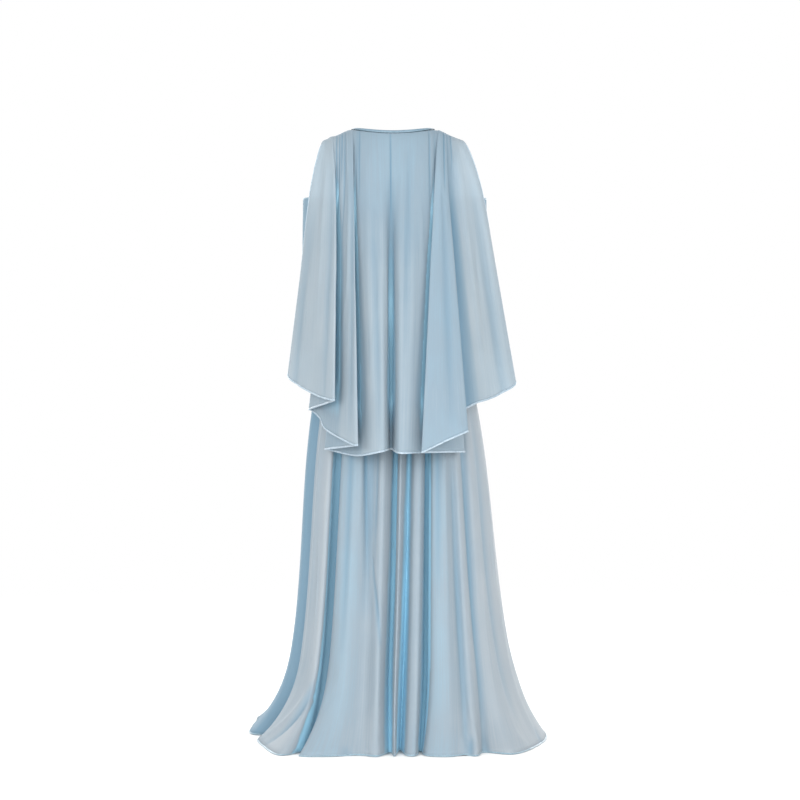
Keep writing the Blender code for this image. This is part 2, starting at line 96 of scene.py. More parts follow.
# The cape, a row for each fold or edge from the wearer's left to the right: the fold's name, the radius of
# its turn, x and lift at the seam, x and lift at the shoulder blades, and x, y and z at the hem.
CAPE = (
    ("left front edge", 0, 0.1690, 0.0000, 0.209, 0.003, 0.250, -0.020, -0.583),
    ("left outer turn", 0, 0.1650, 0.0000, 0.203, 0.004, 0.258, 0.014, -0.596),
    ("left soft valley", 0, 0.1600, 0.0000, 0.180, 0.002, 0.200, 0.135, -0.633),
    ("left ridge", 0.002, 0.1510, 0.0018, 0.137, 0.016, 0.137, 0.236, -0.655),
    ("left inner turn", 0.002, 0.1440, 0.0000, 0.139, 0.005, 0.201, 0.090, -0.678),
    ("left small step", 0, 0.1310, 0.0000, 0.131, 0.003, 0.174, 0.126, -0.699),
    ("left small ridge", 0, 0.1240, 0.0010, 0.124, 0.006, 0.166, 0.146, -0.717),
    ("left panel", 0, 0.1120, 0.0010, 0.109, 0.010, 0.124, 0.222, -0.743),
    ("left pleat edge", 0.002, 0.1000, 0.0022, 0.094, 0.014, 0.082, 0.272, -0.760),
    ("left pleat inner turn", 0.002, 0.0930, 0.0000, 0.104, 0.004, 0.161, 0.132, -0.773),
    ("left pleat outer turn", 0, 0.0870, 0.0000, 0.093, 0.000, 0.101, 0.184, -0.785),
    ("left of middle", 0, 0.0760, 0.0000, 0.076, 0.002, 0.071, 0.232, -0.785),
    ("middle left ridge", 0, 0.0320, 0.0000, 0.028, 0.009, 0.022, 0.262, -0.775),
    ("middle recess", 0, 0.0040, 0.0000, 0.004, 0.001, 0.004, 0.196, -0.771),
    ("middle right ridge", 0, -0.0220, 0.0000, -0.021, 0.009, -0.016, 0.262, -0.778),
    ("right of middle", 0, -0.0700, 0.0000, -0.068, 0.003, -0.054, 0.250, -0.777),
    ("right pleat outer turn", 0.002, -0.1060, 0.0000, -0.112, 0.000, -0.170, 0.142, -0.778),
    ("right pleat edge", 0.002, -0.1130, 0.0022, -0.099, 0.012, -0.068, 0.288, -0.776),
    ("right ridge", 0.002, -0.1270, 0.0014, -0.134, 0.014, -0.175, 0.254, -0.729),
    ("right ridge return", 0.002, -0.1330, 0.0005, -0.138, 0.006, -0.141, 0.214, -0.692),
    ("right valley", 0, -0.1420, 0.0000, -0.152, 0.002, -0.203, 0.118, -0.661),
    ("right outer panel", 0, -0.1520, 0.0000, -0.189, 0.003, -0.243, 0.072, -0.642),
    ("right outer turn", 0, -0.1640, 0.0000, -0.2235, 0.004, -0.301, 0.014, -0.614),
    ("right front edge", 0, -0.1690, 0.0000, -0.2275, 0.003, -0.286, -0.024, -0.602),
)
BLADE_DROP = 0.165
OVER_SHOULDER = 0.7
CAPE_CLEARANCE = 0.00055
NECK_CLEARANCE = 0.0006
BACK_CLEARANCE = 0.0012
CLEARANCE_DROP = 0.010
NECK_EASE = 0.010
CAPE_BELOW_BINDING = 0.001
# How far the cape's rest reaches to either side, by height.
SHOULDER_SPAN_COLUMNS = ("z", "left", "right")
SHOULDER_SPAN = (
    (-0.3000, 0.2245, 0.2420),
    (-0.1640, 0.2215, 0.2370),
    (-0.1000, 0.2150, 0.2310),
    (-0.0600, 0.2080, 0.2180),
    (-0.0195, 0.2060, 0.2060),
    (0.0400, 0.2060, 0.2060),
)

# The skirt, a row for each fold round the whole hem, the back from the wearer's left to the right and then
# the front: the fold's name, its angle at the waist in degrees, how far the hips push it out, x and y at
# LOW_Z, and x and y at the hem.
SKIRT_BACK = (
    ("left side seam", 92, 0.28, 0.247, -0.030, 0.356, -0.130),
    ("left side fold", 80, 0.28, 0.240, 0.016, 0.347, -0.010),
    ("left tuck", 72, 0.25, 0.208, 0.040, 0.290, 0.012),
    ("left ridge edge", 63, 0.24, 0.216, 0.088, 0.326, 0.050),
    ("left ridge", 56, 0.23, 0.190, 0.141, 0.308, 0.172),
    ("left ridge side", 50, 0.22, 0.176, 0.152, 0.258, 0.292),
    ("left valley", 42, 0.19, 0.155, 0.128, 0.196, 0.232),
    ("left panel edge", 38, 0.18, 0.142, 0.172, 0.216, 0.300),
    ("left panel", 28, 0.16, 0.110, 0.200, 0.148, 0.306),
    ("left soft valley", 14, 0.16, 0.063, 0.190, 0.076, 0.290),
    ("left middle ridge", 2, 0.16, 0.033, 0.218, 0.037, 0.308),
    ("middle tuck", -11, 0.16, 0.004, 0.162, 0.006, 0.262),
    ("middle ridge", -17, 0.16, -0.008, 0.206, -0.004, 0.303),
    ("middle valley", -28, 0.16, -0.027, 0.155, -0.017, 0.238),
    ("right middle ridge", -33, 0.16, -0.044, 0.200, -0.034, 0.297),
    ("right middle ridge side", -39, 0.16, -0.059, 0.204, -0.050, 0.302),
    ("right recess", -48, 0.16, -0.078, 0.146, -0.064, 0.246),
    ("right panel edge", -53, 0.16, -0.094, 0.200, -0.078, 0.296),
    ("right panel", -59, 0.16, -0.127, 0.208, -0.127, 0.308),
    ("right soft valley", -65, 0.16, -0.160, 0.180, -0.168, 0.290),
    ("right small ridge", -70, 0.16, -0.177, 0.178, -0.194, 0.300),
    ("right valley", -75, 0.16, -0.199, 0.145, -0.214, 0.252),
    ("right side panel", -80, 0.19, -0.229, 0.122, -0.278, 0.277),
    ("right side panel front", -86, 0.20, -0.261, 0.062, -0.348, 0.150),
    ("right corner", -92, 0.20, -0.281, 0.000, -0.375, 0.032),
)
SKIRT_FRONT = (
    ("right side seam", -98, 0.20, -0.276, -0.050, -0.370, -0.075),
    ("front right ridge", -112, 0.16, -0.246, -0.122, -0.332, -0.195),
    ("front right valley", -124, 0.16, -0.200, -0.128, -0.268, -0.212),
    ("front right second ridge", -136, 0.16, -0.172, -0.185, -0.232, -0.285),
    ("front right second valley", -150, 0.16, -0.115, -0.158, -0.150, -0.250),
    ("front middle right ridge", -163, 0.16, -0.078, -0.210, -0.102, -0.312),
    ("front middle valley", -177, 0.16, -0.012, -0.172, -0.015, -0.268),
    ("front middle left ridge", -190, 0.16, 0.044, -0.216, 0.060, -0.318),
    ("front left second valley", -205, 0.16, 0.098, -0.168, 0.132, -0.262),
    ("front left second ridge", -218, 0.19, 0.148, -0.194, 0.205, -0.310),
    ("front left valley", -232, 0.22, 0.182, -0.138, 0.256, -0.240),
    ("front left ridge", -246, 0.25, 0.224, -0.125, 0.344, -0.300),
    ("front left side", -258, 0.27, 0.240, -0.070, 0.352, -0.200),
)
HIP_SCALE = 6.75  # makes t (1 - t) squared 1 at its highest
FLOOR_SPREAD = 2.6
WAIST_SEAM = 0.005
TURN_SHARE = 0.25

# Small dips of the cape's hem between its folds, by fold place.
HEM_DIPS = (
    (0.0, 0.0), (1.0, 0.0), (1.6, -0.002), (2.5, -0.003), (3.0, 0.0), (7.5, -0.002), (8.0, 0.0),
    (12.5, 0.001), (14.6, -0.001), (17.0, 0.0), (17.5, 0.002), (18.0, 0.0), (20.0, 0.0), (20.6, -0.005),
    (21.1, -0.007), (21.6, -0.004), (22.0, 0.0), (23.0, 0.0),
)

# Creases that are too small for the solids: from_fold, to_fold, start, end, width and height. A crease runs
# from from_fold, at its start, to to_fold, at its end, both counted in the rows of the piece's table, so
# that 2.5 is half-way between its third and fourth rows. start and end are parts of the way down. A height
# under 0 is a trough.
CAPE_CREASES = (
    (1.3, 1.5, 0.20, 1.05, 0.018, -0.0040),
    (2.3, 2.2, 0.05, 0.70, 0.010, 0.0030),
    (2.7, 2.5, 0.12, 1.05, 0.012, -0.0030),
    (4.5, 4.5, -0.04, 0.26, 0.0022, -0.0012),
    (5.2, 5.1, -0.03, 0.34, 0.0024, -0.0014),
    (6.0, 6.0, -0.05, 0.22, 0.0020, -0.0013),
    (6.6, 6.5, -0.02, 0.42, 0.0030, -0.0012),
    (7.0, 7.0, -0.05, 0.26, 0.0022, 0.0016),
    (7.3, 7.2, 0.02, 0.62, 0.006, 0.0022),
    (7.7, 7.5, 0.10, 1.05, 0.009, -0.0026),
    (10.2, 10.2, -0.05, 0.90, 0.0030, -0.0012),
    (10.6, 10.7, -0.05, 0.24, 0.0024, -0.0012),
    (11.3, 11.5, 0.08, 0.90, 0.012, 0.0030),
    (11.6, 11.8, 0.25, 1.05, 0.009, -0.0028),
    (12.4, 12.4, 0.30, 0.80, 0.007, 0.0020),
    (12.9, 13.0, -0.06, 0.40, 0.0020, -0.0016),
    (13.0, 13.0, 0.15, 1.05, 0.008, -0.0050),
    (14.4, 14.3, 0.05, 0.75, 0.008, -0.0022),
    (14.7, 14.6, 0.30, 1.05, 0.011, 0.0028),
    (15.4, 15.4, -0.05, 0.28, 0.0026, -0.0012),
    (15.7, 15.7, -0.05, 0.90, 0.0030, -0.0010),
    (17.4, 17.5, 0.02, 0.55, 0.007, 0.0024),
    (17.6, 17.6, 0.25, 1.05, 0.010, -0.0028),
    (17.7, 17.7, -0.05, 0.26, 0.0022, -0.0014),
    (18.5, 18.5, -0.05, 0.32, 0.0022, -0.0010),
    (19.6, 19.6, -0.05, 0.20, 0.0022, -0.0012),
    (19.3, 19.6, 0.06, 1.08, 0.016, -0.0070),
    (20.5, 20.6, 0.10, 0.85, 0.010, 0.0036),
    (21.3, 21.4, 0.15, 1.05, 0.014, -0.0040),
    (21.7, 21.7, 0.05, 0.60, 0.009, 0.0026),
)
SKIRT_CREASES = (
    (3.5, 3.4, 0.05, 0.85, 0.010, 0.0040),
    (5.9, 6.1, 0.10, 1.02, 0.012, -0.0080),
    (7.6, 7.7, 0.06, 0.78, 0.009, -0.0036),
    (8.4, 8.4, 0.05, 0.55, 0.007, 0.0030),
    (9.0, 8.9, 0.08, 0.70, 0.012, -0.0050),
    (9.5, 9.4, 0.05, 0.60, 0.006, -0.0024),
    (11.0, 11.0, 0.05, 1.05, 0.007, -0.0060),
    (8.3, 9.0, 0.06, 0.66, 0.006, -0.0046),
    (8.5, 9.2, 0.06, 0.66, 0.006, 0.0028),
    (9.0, 10.2, 0.54, 0.76, 0.006, -0.0028),
    (3.0, 3.0, 0.02, 0.95, 0.006, 0.0030),
    (16.4, 16.6, 0.10, 0.90, 0.006, 0.0026),
    (16.0, 16.0, 0.05, 1.05, 0.010, -0.0080),
    (17.5, 17.4, 0.08, 0.66, 0.008, -0.0030),
    (18.2, 18.1, 0.04, 0.80, 0.007, 0.0026),
    (18.9, 19.1, 0.34, 1.04, 0.009, -0.0044),
    (19.5, 19.6, 0.05, 0.75, 0.006, 0.0024),
    (21.0, 21.0, 0.15, 1.05, 0.010, -0.0060),
    (21.6, 21.5, 0.10, 0.70, 0.010, 0.0034),
    (22.5, 22.6, 0.20, 0.95, 0.016, -0.0050),
    (23.4, 23.2, 0.30, 1.05, 0.018, 0.0046),
    (26.5, 26.4, 0.08, 0.80, 0.010, 0.0036),
    (28.6, 28.5, 0.05, 0.70, 0.008, -0.0032),
    (29.5, 29.6, 0.10, 0.95, 0.010, 0.0040),
    (31.0, 31.0, 0.06, 1.05, 0.010, -0.0060),
    (32.5, 32.4, 0.05, 0.64, 0.008, 0.0030),
    (33.0, 33.1, 0.15, 1.05, 0.009, -0.0050),
    (35.0, 35.0, 0.10, 1.05, 0.010, -0.0060),
    (36.4, 36.6, 0.15, 0.90, 0.012, 0.0040),
)
# Short wrinkles where the hem lies on the floor.
FLOOR_CREASES = (
    (2.6, 2.9, 0.955, 1.02, 0.012, 0.0030),
    (4.7, 3.3, 0.840, 1.005, 0.014, 0.0060),
    (5.0, 3.9, 0.830, 1.005, 0.013, -0.0070),
    (8.4, 8.7, 0.965, 1.02, 0.012, -0.0030),
    (15.5, 15.3, 0.960, 1.02, 0.008, 0.0026),
    (18.9, 19.2, 0.945, 1.02, 0.011, 0.0050),
    (19.5, 19.3, 0.950, 1.02, 0.009, -0.0046),
    (22.3, 22.7, 0.955, 1.02, 0.018, 0.0040),
    (23.4, 23.1, 0.960, 1.02, 0.014, -0.0040),
    (27.4, 27.2, 0.955, 1.02, 0.012, 0.0036),
    (30.5, 30.8, 0.960, 1.02, 0.012, -0.0034),
    (34.4, 34.7, 0.955, 1.02, 0.012, 0.0036),
)

# Waist darts, as creases whose places are parts of the way across the panel.
DARTS = {
    "back": ((0.31, 0.29, 0.42, 1.03, 0.0022, -0.0009), (0.69, 0.71, 0.42, 1.03, 0.0022, -0.0009)),
    "front": ((0.29, 0.31, 0.66, 1.03, 0.0024, -0.0011), (0.71, 0.69, 0.66, 1.03, 0.0024, -0.0011)),
}

# Spacing of the shells' points.
ACROSS_STEP = 0.0035
LEAST_STEPS = 6
BODICE_NECK_STEPS = 34
BODICE_SHOULDER_STEPS = 15
BODICE_UPPER_LEVELS = 26
BODICE_LOWER_LEVELS = 52
SLEEVE_LEVELS = 84
SLEEVE_AROUND = 97
CAPE_REST_LEVELS = 28
CAPE_HANG_LEVELS = 50
SKIRT_LEVELS = 86
# Powers of a level's number: over 1 the levels lie closer together near the top, under 1 near the hem.
BODICE_CLOSER = 1.8
CAPE_CLOSER = 1.6
SKIRT_CLOSER = 0.93

# Folds that are closed in less than FOLD_OPEN have the colour of a ridge, and more than FOLD_SHUT the
# bright tone of a deep fold, which is painted light.
FOLD_ROUNDING = 0.006
FOLD_OPEN = 0.24
FOLD_SHUT = 0.92
CAPE_CENTRE_Y = -0.10
SKIRT_CENTRE_Y = 0.0
TURN_PLACE = 0.04  # a turn's two rows lie this far before and after its fold's place
CREASE_FADE = 0.7  # under 1, so that a crease keeps its height nearly to its ends
CREASE_SHADE = 1.1  # painted shade along a trough, as a share of its steepness
CREASE_SHADE_MOST = 0.75
SHADE_LOST = 0.8  # share of the painted shade of troughs and recesses that is lost deep in a fold
DEEP_FOLD = (0.75, 1.0)  # how closed in a fold is where the painted shade along its bottom comes in
CAPE_DEEP_FOLD_SHADE = 0.42  # painted shade along the bottom of a deep fold
SKIRT_DEEP_FOLD_SHADE = 0.22

# Where things on the cape come in, as distances from its top edge. CAPE_HEM_FADE is in shares of the whole
# way down, and at its end the folds' painted tone has lost HEM_FOLD_LOST of its strength.
CAPE_BUMPS_START = (0.0, 0.012)
CAPE_STREAKS_START = (0.0, 0.06)
CAPE_LEAVES_BACK = (0.10, 0.20)
CAPE_FOLDS_START = (0.04, 0.26)
CAPE_RECESS_START = (0.06, 0.30)
CAPE_LAYERS_CHANGE = (0.10, 0.45)
CAPE_HEM_FADE = (0.80, 0.97)
HEM_FOLD_LOST = 0.85

# Bumps keep within LAYER_SHARE of the room to the next layer of the same cloth. Where the cape rests on the
# back they push inward, towards a line inside it, by no more than BACK_ROOM at its seam and BACK_ROOM_MORE
# beyond that lower down.
LAYER_TURN = 2.0
LAYER_SHARE = 0.3
FREE_ROOM = 0.05
BACK_ROOM = 0.0003
BACK_ROOM_MORE = 0.0008
BACK_ROOM_CHANGE = (0.0, 0.02)
INNER_LINE_SHARE = 0.5
INNER_LINE_TOP = -0.10

# Rounding of the cape's bends: the times, the levels held at the top and the end, and the share of the way
# to its middle that a point moves each time.
SOFTEN_TIMES = 60
SOFTEN_HOLD_TOP = 27
SOFTEN_HOLD_END = 6
SOFTENING = 0.5

# Streaks down a cloth: seed, number, share that starts at the top edge, and height. Below are the ranges
# that each one's measures are drawn from, as shares of the cloth but for its width.
SLEEVE_STREAKS = {"left": (3, 34, 0.5, 0.0011), "right": (5, 34, 0.5, 0.0011)}
CAPE_STREAKS = (11, 90, 0.35, 0.0014)
SKIRT_STREAKS = (23, 190, 0.4, 0.0018)
STREAK_PLACE = (0.01, 0.99)
STREAK_LEAN = (-0.012, 0.012)
STREAK_LENGTH = (0.12, 0.6)
STREAK_START = (0.05, 0.8)
STREAK_ABOVE = 0.25  # share of its length that lies above the edge where it starts at the top
STREAK_WIDTH = (0.003, 0.009)
# Gathers at the waist, drawn likewise, in metres but for their places.
GATHER_SEED = 37
GATHER_COUNT = 92
GATHER_PLACE = (0.15, 0.85)
GATHER_LENGTH = (0.07, 0.30)
GATHER_WIDTH = (0.0022, 0.0040)
GATHER_RISE = (0.0011, 0.0022)
GATHER_START = (0.0, 0.008)
GATHER_FADE = 1.5
GATHER_WIDENS = 0.035  # for each metre down

# Sewing. A rolled hem has its height, half its thickness, and how far in from the edge its stitches lie.
CAPE_HEM = (0.0044, 0.0010, 0.003608)
CAPE_SIDE_HEM = (0.0036, 0.0008, 0.002952)
CAPE_SIDE_HEM_LEVEL = 6
SLEEVE_HEM = (0.0042, 0.0008, 0.0034)
SKIRT_HEM = (0.0040, 0.0006, 0.0034)
SKIRT_HEM_LIFT = 0.0004
HEM_PAST_EDGE = 0.0006
HEM_AROUND = 10
HEM_FLATNESS = 0.7
HEM_WAVERS = ((0.09, 0.37, 0.0), (0.07, 0.111, 1.0))  # share of the height, turn at each point, start
STITCH_PITCH = 0.0030
STITCH_LENGTH = 0.0021
STITCH_RADIUS = 0.00022
STITCH_LIFT = 0.0001
STITCH_SIDES = 6
STITCH_RINGS = ((-0.5, 0.35), (-0.25, 1.0), (0.25, 1.0), (0.5, 0.35))  # shares of the length and radius
SIDE_SEAM_DEPTH = 0.0012
SIDE_SEAM_WIDTH = 0.004
SIDE_SEAM_CALM = (0.0, 0.03)

# The neck binding, from the neckline's edge.
BINDING_BASE = 0.0006
BINDING_TOP = 0.0070
BINDING_INSIDE = -0.0018
BINDING_OUTSIDE = 0.0030
BINDING_CLOTH = 0.0005
BINDING_PUFF = 0.0003
BINDING_POINTS = 180
BINDING_LEG_POINTS = 3
BINDING_BEND_POINTS = 9
BINDING_AWAY = 0.05  # tells the outer side from the inner one at the neck points
BINDING_STITCH_OUT = 0.0004
BINDING_STITCH_UP = 0.0022

# The sleeves: how near the seam bumps die away, as an angle, the power of their fading at the ends, and the
# tone of two layers, with an even share of painted shade.
SLEEVE_SEAM_TURN = 0.35
SLEEVE_END_FADE = 0.4
SLEEVE_FOLD = 0.22
SLEEVE_SHADE = 0.20

# Colours of the cloth: where one layer shows, where two or three lie close together, where more do, and
# deep in a fold, where light goes through the cloth again and again. That deep tone is painted light, pale
# and bright to lift the fold's shade, and the middle tones are partly the stacked layers, partly painted
# shade. The places are on the scale of fold.
TONE_PLACES = (0.06, 0.34, 0.62, 1.0)
CAPE_TONES = ("#b4bec4", "#95a8b5", "#98bbcd", "#bfeafa")
SKIRT_TONES = ("#aeb3b7", "#909faa", "#8cb1c4", "#a8def5")
# Painted shade: the dark blue mixed in along troughs, in the recess, along the deepest folds, on the skirt's
# shaded side and on the sleeves.
PAINTED_SHADE_TONE = "#628da6"
ROLLED_EDGE = ("#8395a3", "#a1b1bc")
SKIRT_EDGE = ("#6f8794", "#839aa6")
BINDING_EDGE = ("#56707f", "#677f8e")
SHEEN_TINT = "#e6eef3"
CLEAR_TINT = "#dcebf3"
CREPE_TONES = ("#70828d", "#7e909b")
THREAD_TONES = ("#a9c1ce", "#bccfd9")
PAPER_TONES = ("#efefee", "#f4f4f3")
# The chiffon's noise patterns: scale across and down the cloth in a metre, detail and roughness. Yarns lie
# 0.3 mm apart, and the pebbles of their twist are drawn 1.2 mm apart, or they wouldn't show.
WARP_STREAKS = ((260.0, 5.0, 1.0), 3.0, 0.6)
YARN_PEBBLES = ((830.0, 830.0, 1.0), 1.0, 0.5)
CRINKLES = ((150.0, 22.0, 1.0), 2.0, 0.5)

# How much of other layers shows through the cloth, by fold place, which darkens its tone: partly the layers
# themselves and partly painted shade. The cape has the back behind it near its top, and behind its pleats
# itself again lower down. At the left side the skirt's panel lies on itself.
CAPE_LAYERS_AND_SHADE = (
    (0.0, 0.00, 0.00), (3.0, 0.02, 0.00), (5.0, 0.10, 0.02), (8.0, 0.16, 0.03), (12.0, 0.22, 0.04),
    (14.0, 0.22, 0.09), (16.0, 0.18, 0.10), (17.2, 0.22, 0.20), (18.0, 0.20, 0.18), (19.0, 0.18, 0.06),
    (20.0, 0.10, 0.00), (21.0, 0.00, 0.00), (23.0, 0.00, 0.00),
)
SKIRT_LAYERS_AND_SHADE = (
    (0.0, 0.20), (3.6, 0.12), (4.6, 0.02), (6.0, 0.18), (8.0, 0.24), (9.0, 0.14), (12.0, 0.14),
    (16.0, 0.18), (17.5, 0.24), (19.0, 0.12), (21.0, 0.08), (24.0, 0.00), (28.0, 0.12), (34.0, 0.16),
    (38.0, 0.20),
)
# Painted shade in the recess beside the cape's right ridge, strongest in its middle.
CAPE_RECESS_SHADE = ((18.2, 0.0), (18.8, 0.60), (19.5, 0.85), (19.8, 0.60), (20.15, 0.0))
# The skirt's left side, which is turned away from the light.
SHADED_SIDE = ((0.0, 0.62), (2.4, 0.62), (3.1, 0.0), (35.0, 0.0), (38.0, 0.62))
# How strongly each fold takes the painted fold tone, as a gain on its depth: over 1 it shows more of the
# bright deep-fold tone, which is painted light, and under 1 it stays paler.
CAPE_FOLD_TONE_GAIN = (
    (0.0, 1.0), (4.0, 1.0), (4.4, 1.2), (6.0, 1.4), (6.5, 2.1), (6.9, 1.8), (7.3, 1.0), (12.0, 1.0),
    (13.0, 1.3), (14.0, 1.0), (23.0, 1.0),
)
SKIRT_FOLD_TONE_GAIN = (
    (0.0, 1.0), (5.0, 1.0), (6.0, 0.45), (7.0, 1.0), (12.0, 1.0), (12.4, 1.7), (13.0, 1.2), (14.0, 1.0),
    (25.0, 1.0), (26.0, 0.6), (33.0, 0.6), (34.5, 0.3), (37.0, 0.3), (38.0, 1.0),
)

# Flat cuts of the bodice and the skirt, and the share of its rectangle that each one fills.
BODICE_PANELS = (("back", 1, BACK_NECK_DROP, (0.36, 0.41)), ("front", -1, FRONT_NECK_DROP, (0.40, 0.43)))
SKIRT_CUTS = (("back", (1.60, 1.12)), ("front", (1.25, 1.10)))

# The stage.
LENS_MM = 91.8
SENSOR_MM = 36.0
CAMERA_PLACE = (-0.017, 5.0, -0.654)
FLOOR_RADIUS = 4.5
FLOOR_RINGS = 12
FLOOR_SIDES = 64
LIGHT_AIM = (0.0, 0.0, -0.75)
LIGHTS = (  # name, place, size and power
    ("back_key", (-2.6, 3.9, 0.5), 2.4, 94.0),
    ("back_fill", (0.3, 5.6, -0.4), 2.6, 136.0),
    ("left_fill", (3.0, 3.6, 0.6), 2.4, 84.0),
    ("front_key", (2.2, -4.0, 1.0), 2.6, 130.0),
    ("front_fill", (-2.4, -4.0, 0.0), 2.6, 90.0),
)


# General maths

def unit(vectors):
    return vectors / (np.linalg.norm(vectors, axis=-1, keepdims=True) + 1e-12)


def column(table, number):
    return np.array([row[number] for row in table], float)


def smooth_step(low, high, x):
    t = np.clip((x - low) / (high - low), 0.0, 1.0)
    return t * t * (3 - 2 * t)


def by_fold(table, places, number=1):
    """A table's value at each fold place, on straight lines between its rows."""
    return np.interp(places, column(table, 0), column(table, number))


def hermite(t, start, leave, end, arrive):
    """The cubic from start to end as t goes from 0 to 1, with the slopes leave and arrive at its ends."""
    return (
        (2 * t**3 - 3 * t**2 + 1) * start
        + (t**3 - 2 * t**2 + t) * leave
        + (3 * t**2 - 2 * t**3) * end
        + (t**3 - t**2) * arrive
    )


def along_table(x, table, columns, name):
    """A value of a table at x by cubic pieces that never overshoot: each row's slope is the harmonic mean
    of the slopes on its two sides, or 0 where they differ in sign."""
    at, values = column(table, 0), column(table, columns.index(name))
    slopes = np.diff(values) / np.diff(at)
    before, after = np.append(slopes[:1], slopes), np.append(slopes, slopes[-1:])
    same = before * after > 0
    row_slopes = np.where(same, 2 * before * after / np.where(same, before + after, 1.0), 0.0)
    x = np.clip(x, at[0], at[-1])
    i = np.clip(np.searchsorted(at, x) - 1, 0, len(at) - 2)
    width = at[i + 1] - at[i]
    leave, arrive = row_slopes[i] * width, row_slopes[i + 1] * width
    return hermite((x - at[i]) / width, values[i], leave, values[i + 1], arrive)


def whole_turn(count):
    """Evenly spaced angles once round."""
    return np.linspace(0, 2 * math.pi, count, endpoint=False)


def split_turns(values, radii):
    """Makes two rows of each that has a radius, so that the cloth goes round its fold. The first two values
    of a row are its plan. Also gives each row's place, counted in the rows of the table."""
    plan = values[:, :2]
    split, places = [], []
    for i, radius in enumerate(radii):
        if radius == 0:
            split.append(values[i])
            places.append(i)
            continue
        back, on = plan[i - 1] - plan[i], plan[i + 1] - plan[i]
        room = min(radius, TURN_SHARE * min(np.linalg.norm(back), np.linalg.norm(on)))
        across = unit(unit(on) - unit(back)) * room
        for side in (-1, 1):
            row = values[i].copy()
            row[:2] += side * across
            split.append(row)
            places.append(i + side * TURN_PLACE)
    return np.array(split), np.array(places)


def through_rows(values, counts, closed):
    """Points on the centripetal Catmull-Rom curve through the rows of values, with that many steps in each
    span. The first two values of a row are its plan, in which the spacing of the rows is measured."""
    if closed:
        padded = np.concatenate([values[-1:], values, values[:2]])
    else:
        padded = np.concatenate([2 * values[:1] - values[1:2], values, 2 * values[-1:] - values[-2:-1]])
    knots = np.sqrt(np.linalg.norm(np.diff(padded[:, :2], axis=0), axis=1))[:, None] + 1e-6
    speed = np.diff(padded, axis=0) / knots
    through = (padded[2:] - padded[:-2]) / (knots[1:] + knots[:-1])
    tangents = speed[:-1] - through + speed[1:]
    sampled = []
    for span, count in enumerate(counts):
        start, end = padded[span + 1], padded[span + 2]
        leave, arrive = tangents[span] * knots[span + 1], tangents[span + 1] * knots[span + 1]
        t = np.linspace(0, 1, count, endpoint=False)[:, None]
        sampled.append(hermite(t, start, leave, end, arrive))
    if not closed:
        sampled.append(values[-1:])
    return np.concatenate(sampled)


def span_counts(values, closed):
    """How many steps each span gets, from its length in plan."""
    ends = np.concatenate([values, values[:1]]) if closed else values
    lengths = np.linalg.norm(np.diff(ends[:, :2], axis=0), axis=1)
    return np.maximum(LEAST_STEPS, np.ceil(lengths / ACROSS_STEP)).astype(int)


def fold_places(places, counts, closed):
    """Each column's place, counted in the rows of the table."""
    ends = np.append(places, len(places)) if closed else places
    steps = [
        start + (end - start) * np.linspace(0, 1, count, endpoint=False)
        for start, end, count in zip(ends[:-1], ends[1:], counts)
    ]
    return np.concatenate(steps + ([] if closed else [ends[-1:]]))


# Grids of cloth, level by level, each level a row of points

def grid_normals(grid):
    """Unit normals of a grid, from the cross product of its two directions."""
    return unit(np.cross(np.gradient(grid, axis=0), np.gradient(grid, axis=1)))


def turned_out(grid):
    """Whether those normals point away from the gown's axis rather than towards it."""
    return (grid_normals(grid)[..., :2] * grid[..., :2]).sum() > 0


def outward(grid):
    return grid_normals(grid) if turned_out(grid) else -grid_normals(grid)


def arc_across(grid):
    """Distance along each level from its first column."""
    steps = np.linalg.norm(np.diff(grid, axis=1), axis=2)
    return np.concatenate([np.zeros((len(grid), 1)), np.cumsum(steps, axis=1)], axis=1)


def way_down(grid):
    """Distance down each column from its first level."""
    steps = np.linalg.norm(np.diff(grid, axis=0), axis=2)
    return np.concatenate([np.zeros((1, grid.shape[1])), np.cumsum(steps, axis=0)])


def crease_heights(grid, places, creases):
    """The sum of soft bumps and troughs. Each is a bell curve across the cloth about a line that goes from
    one fold place to another, and it rises and dies away smoothly between its start and its end. Also
    gives the painted shade along the troughs, which is stronger where they are steeper."""
    arc, down = arc_across(grid), way_down(grid)
    part = down / down[-1:].mean()
    heights, shades = np.zeros(part.shape), np.zeros(part.shape)
    for from_fold, to_fold, start, end, width, height in creases:
        way = np.clip((part.mean(axis=1) - start) / (end - start), 0.0, 1.0)
        line = np.interp(from_fold + (to_fold - from_fold) * way, places, np.arange(len(places)))
        middle = [np.interp(at, np.arange(len(places)), arc[level]) for level, at in enumerate(line)]
        bell = np.exp(-(((arc - np.array(middle)[:, None]) / width) ** 2))
        t = np.clip((part - start) / (end - start), 0.0, 1.0)
        bell *= np.sin(math.pi * t) ** CREASE_FADE
        heights += height * bell
        shade = min(CREASE_SHADE * max(-height, 0.0) / width, CREASE_SHADE_MOST)
        shades = np.maximum(shades, bell * shade)
    return heights, shades


def streak_heights(grid, seed, count, top_share, height):
    """The sum of many narrow soft streaks down the cloth, uneven in place, length, width and depth. A share
    of them starts at the top edge, as small gathers do."""
    rng = np.random.default_rng(seed)
    arc, down = arc_across(grid), way_down(grid)
    across = arc / arc[:, -1:]
    part = down / down[-1:].mean()
    heights = np.zeros(part.shape)
    for number in range(count):
        at, lean = rng.uniform(*STREAK_PLACE), rng.uniform(*STREAK_LEAN)
        length = rng.uniform(*STREAK_LENGTH)
        start = -STREAK_ABOVE * length if rng.uniform() < top_share else rng.uniform(*STREAK_START)
        width, rise = rng.uniform(*STREAK_WIDTH), rng.uniform(-1.0, 1.0) * height
        t = np.clip((part - start) / length, 0.0, 1.0)
        gap = (across - at - lean * (part - start)) * arc[:, -1:]
        heights += rise * np.exp(-((gap / width) ** 2)) * np.sin(math.pi * t) ** 2
    return heights


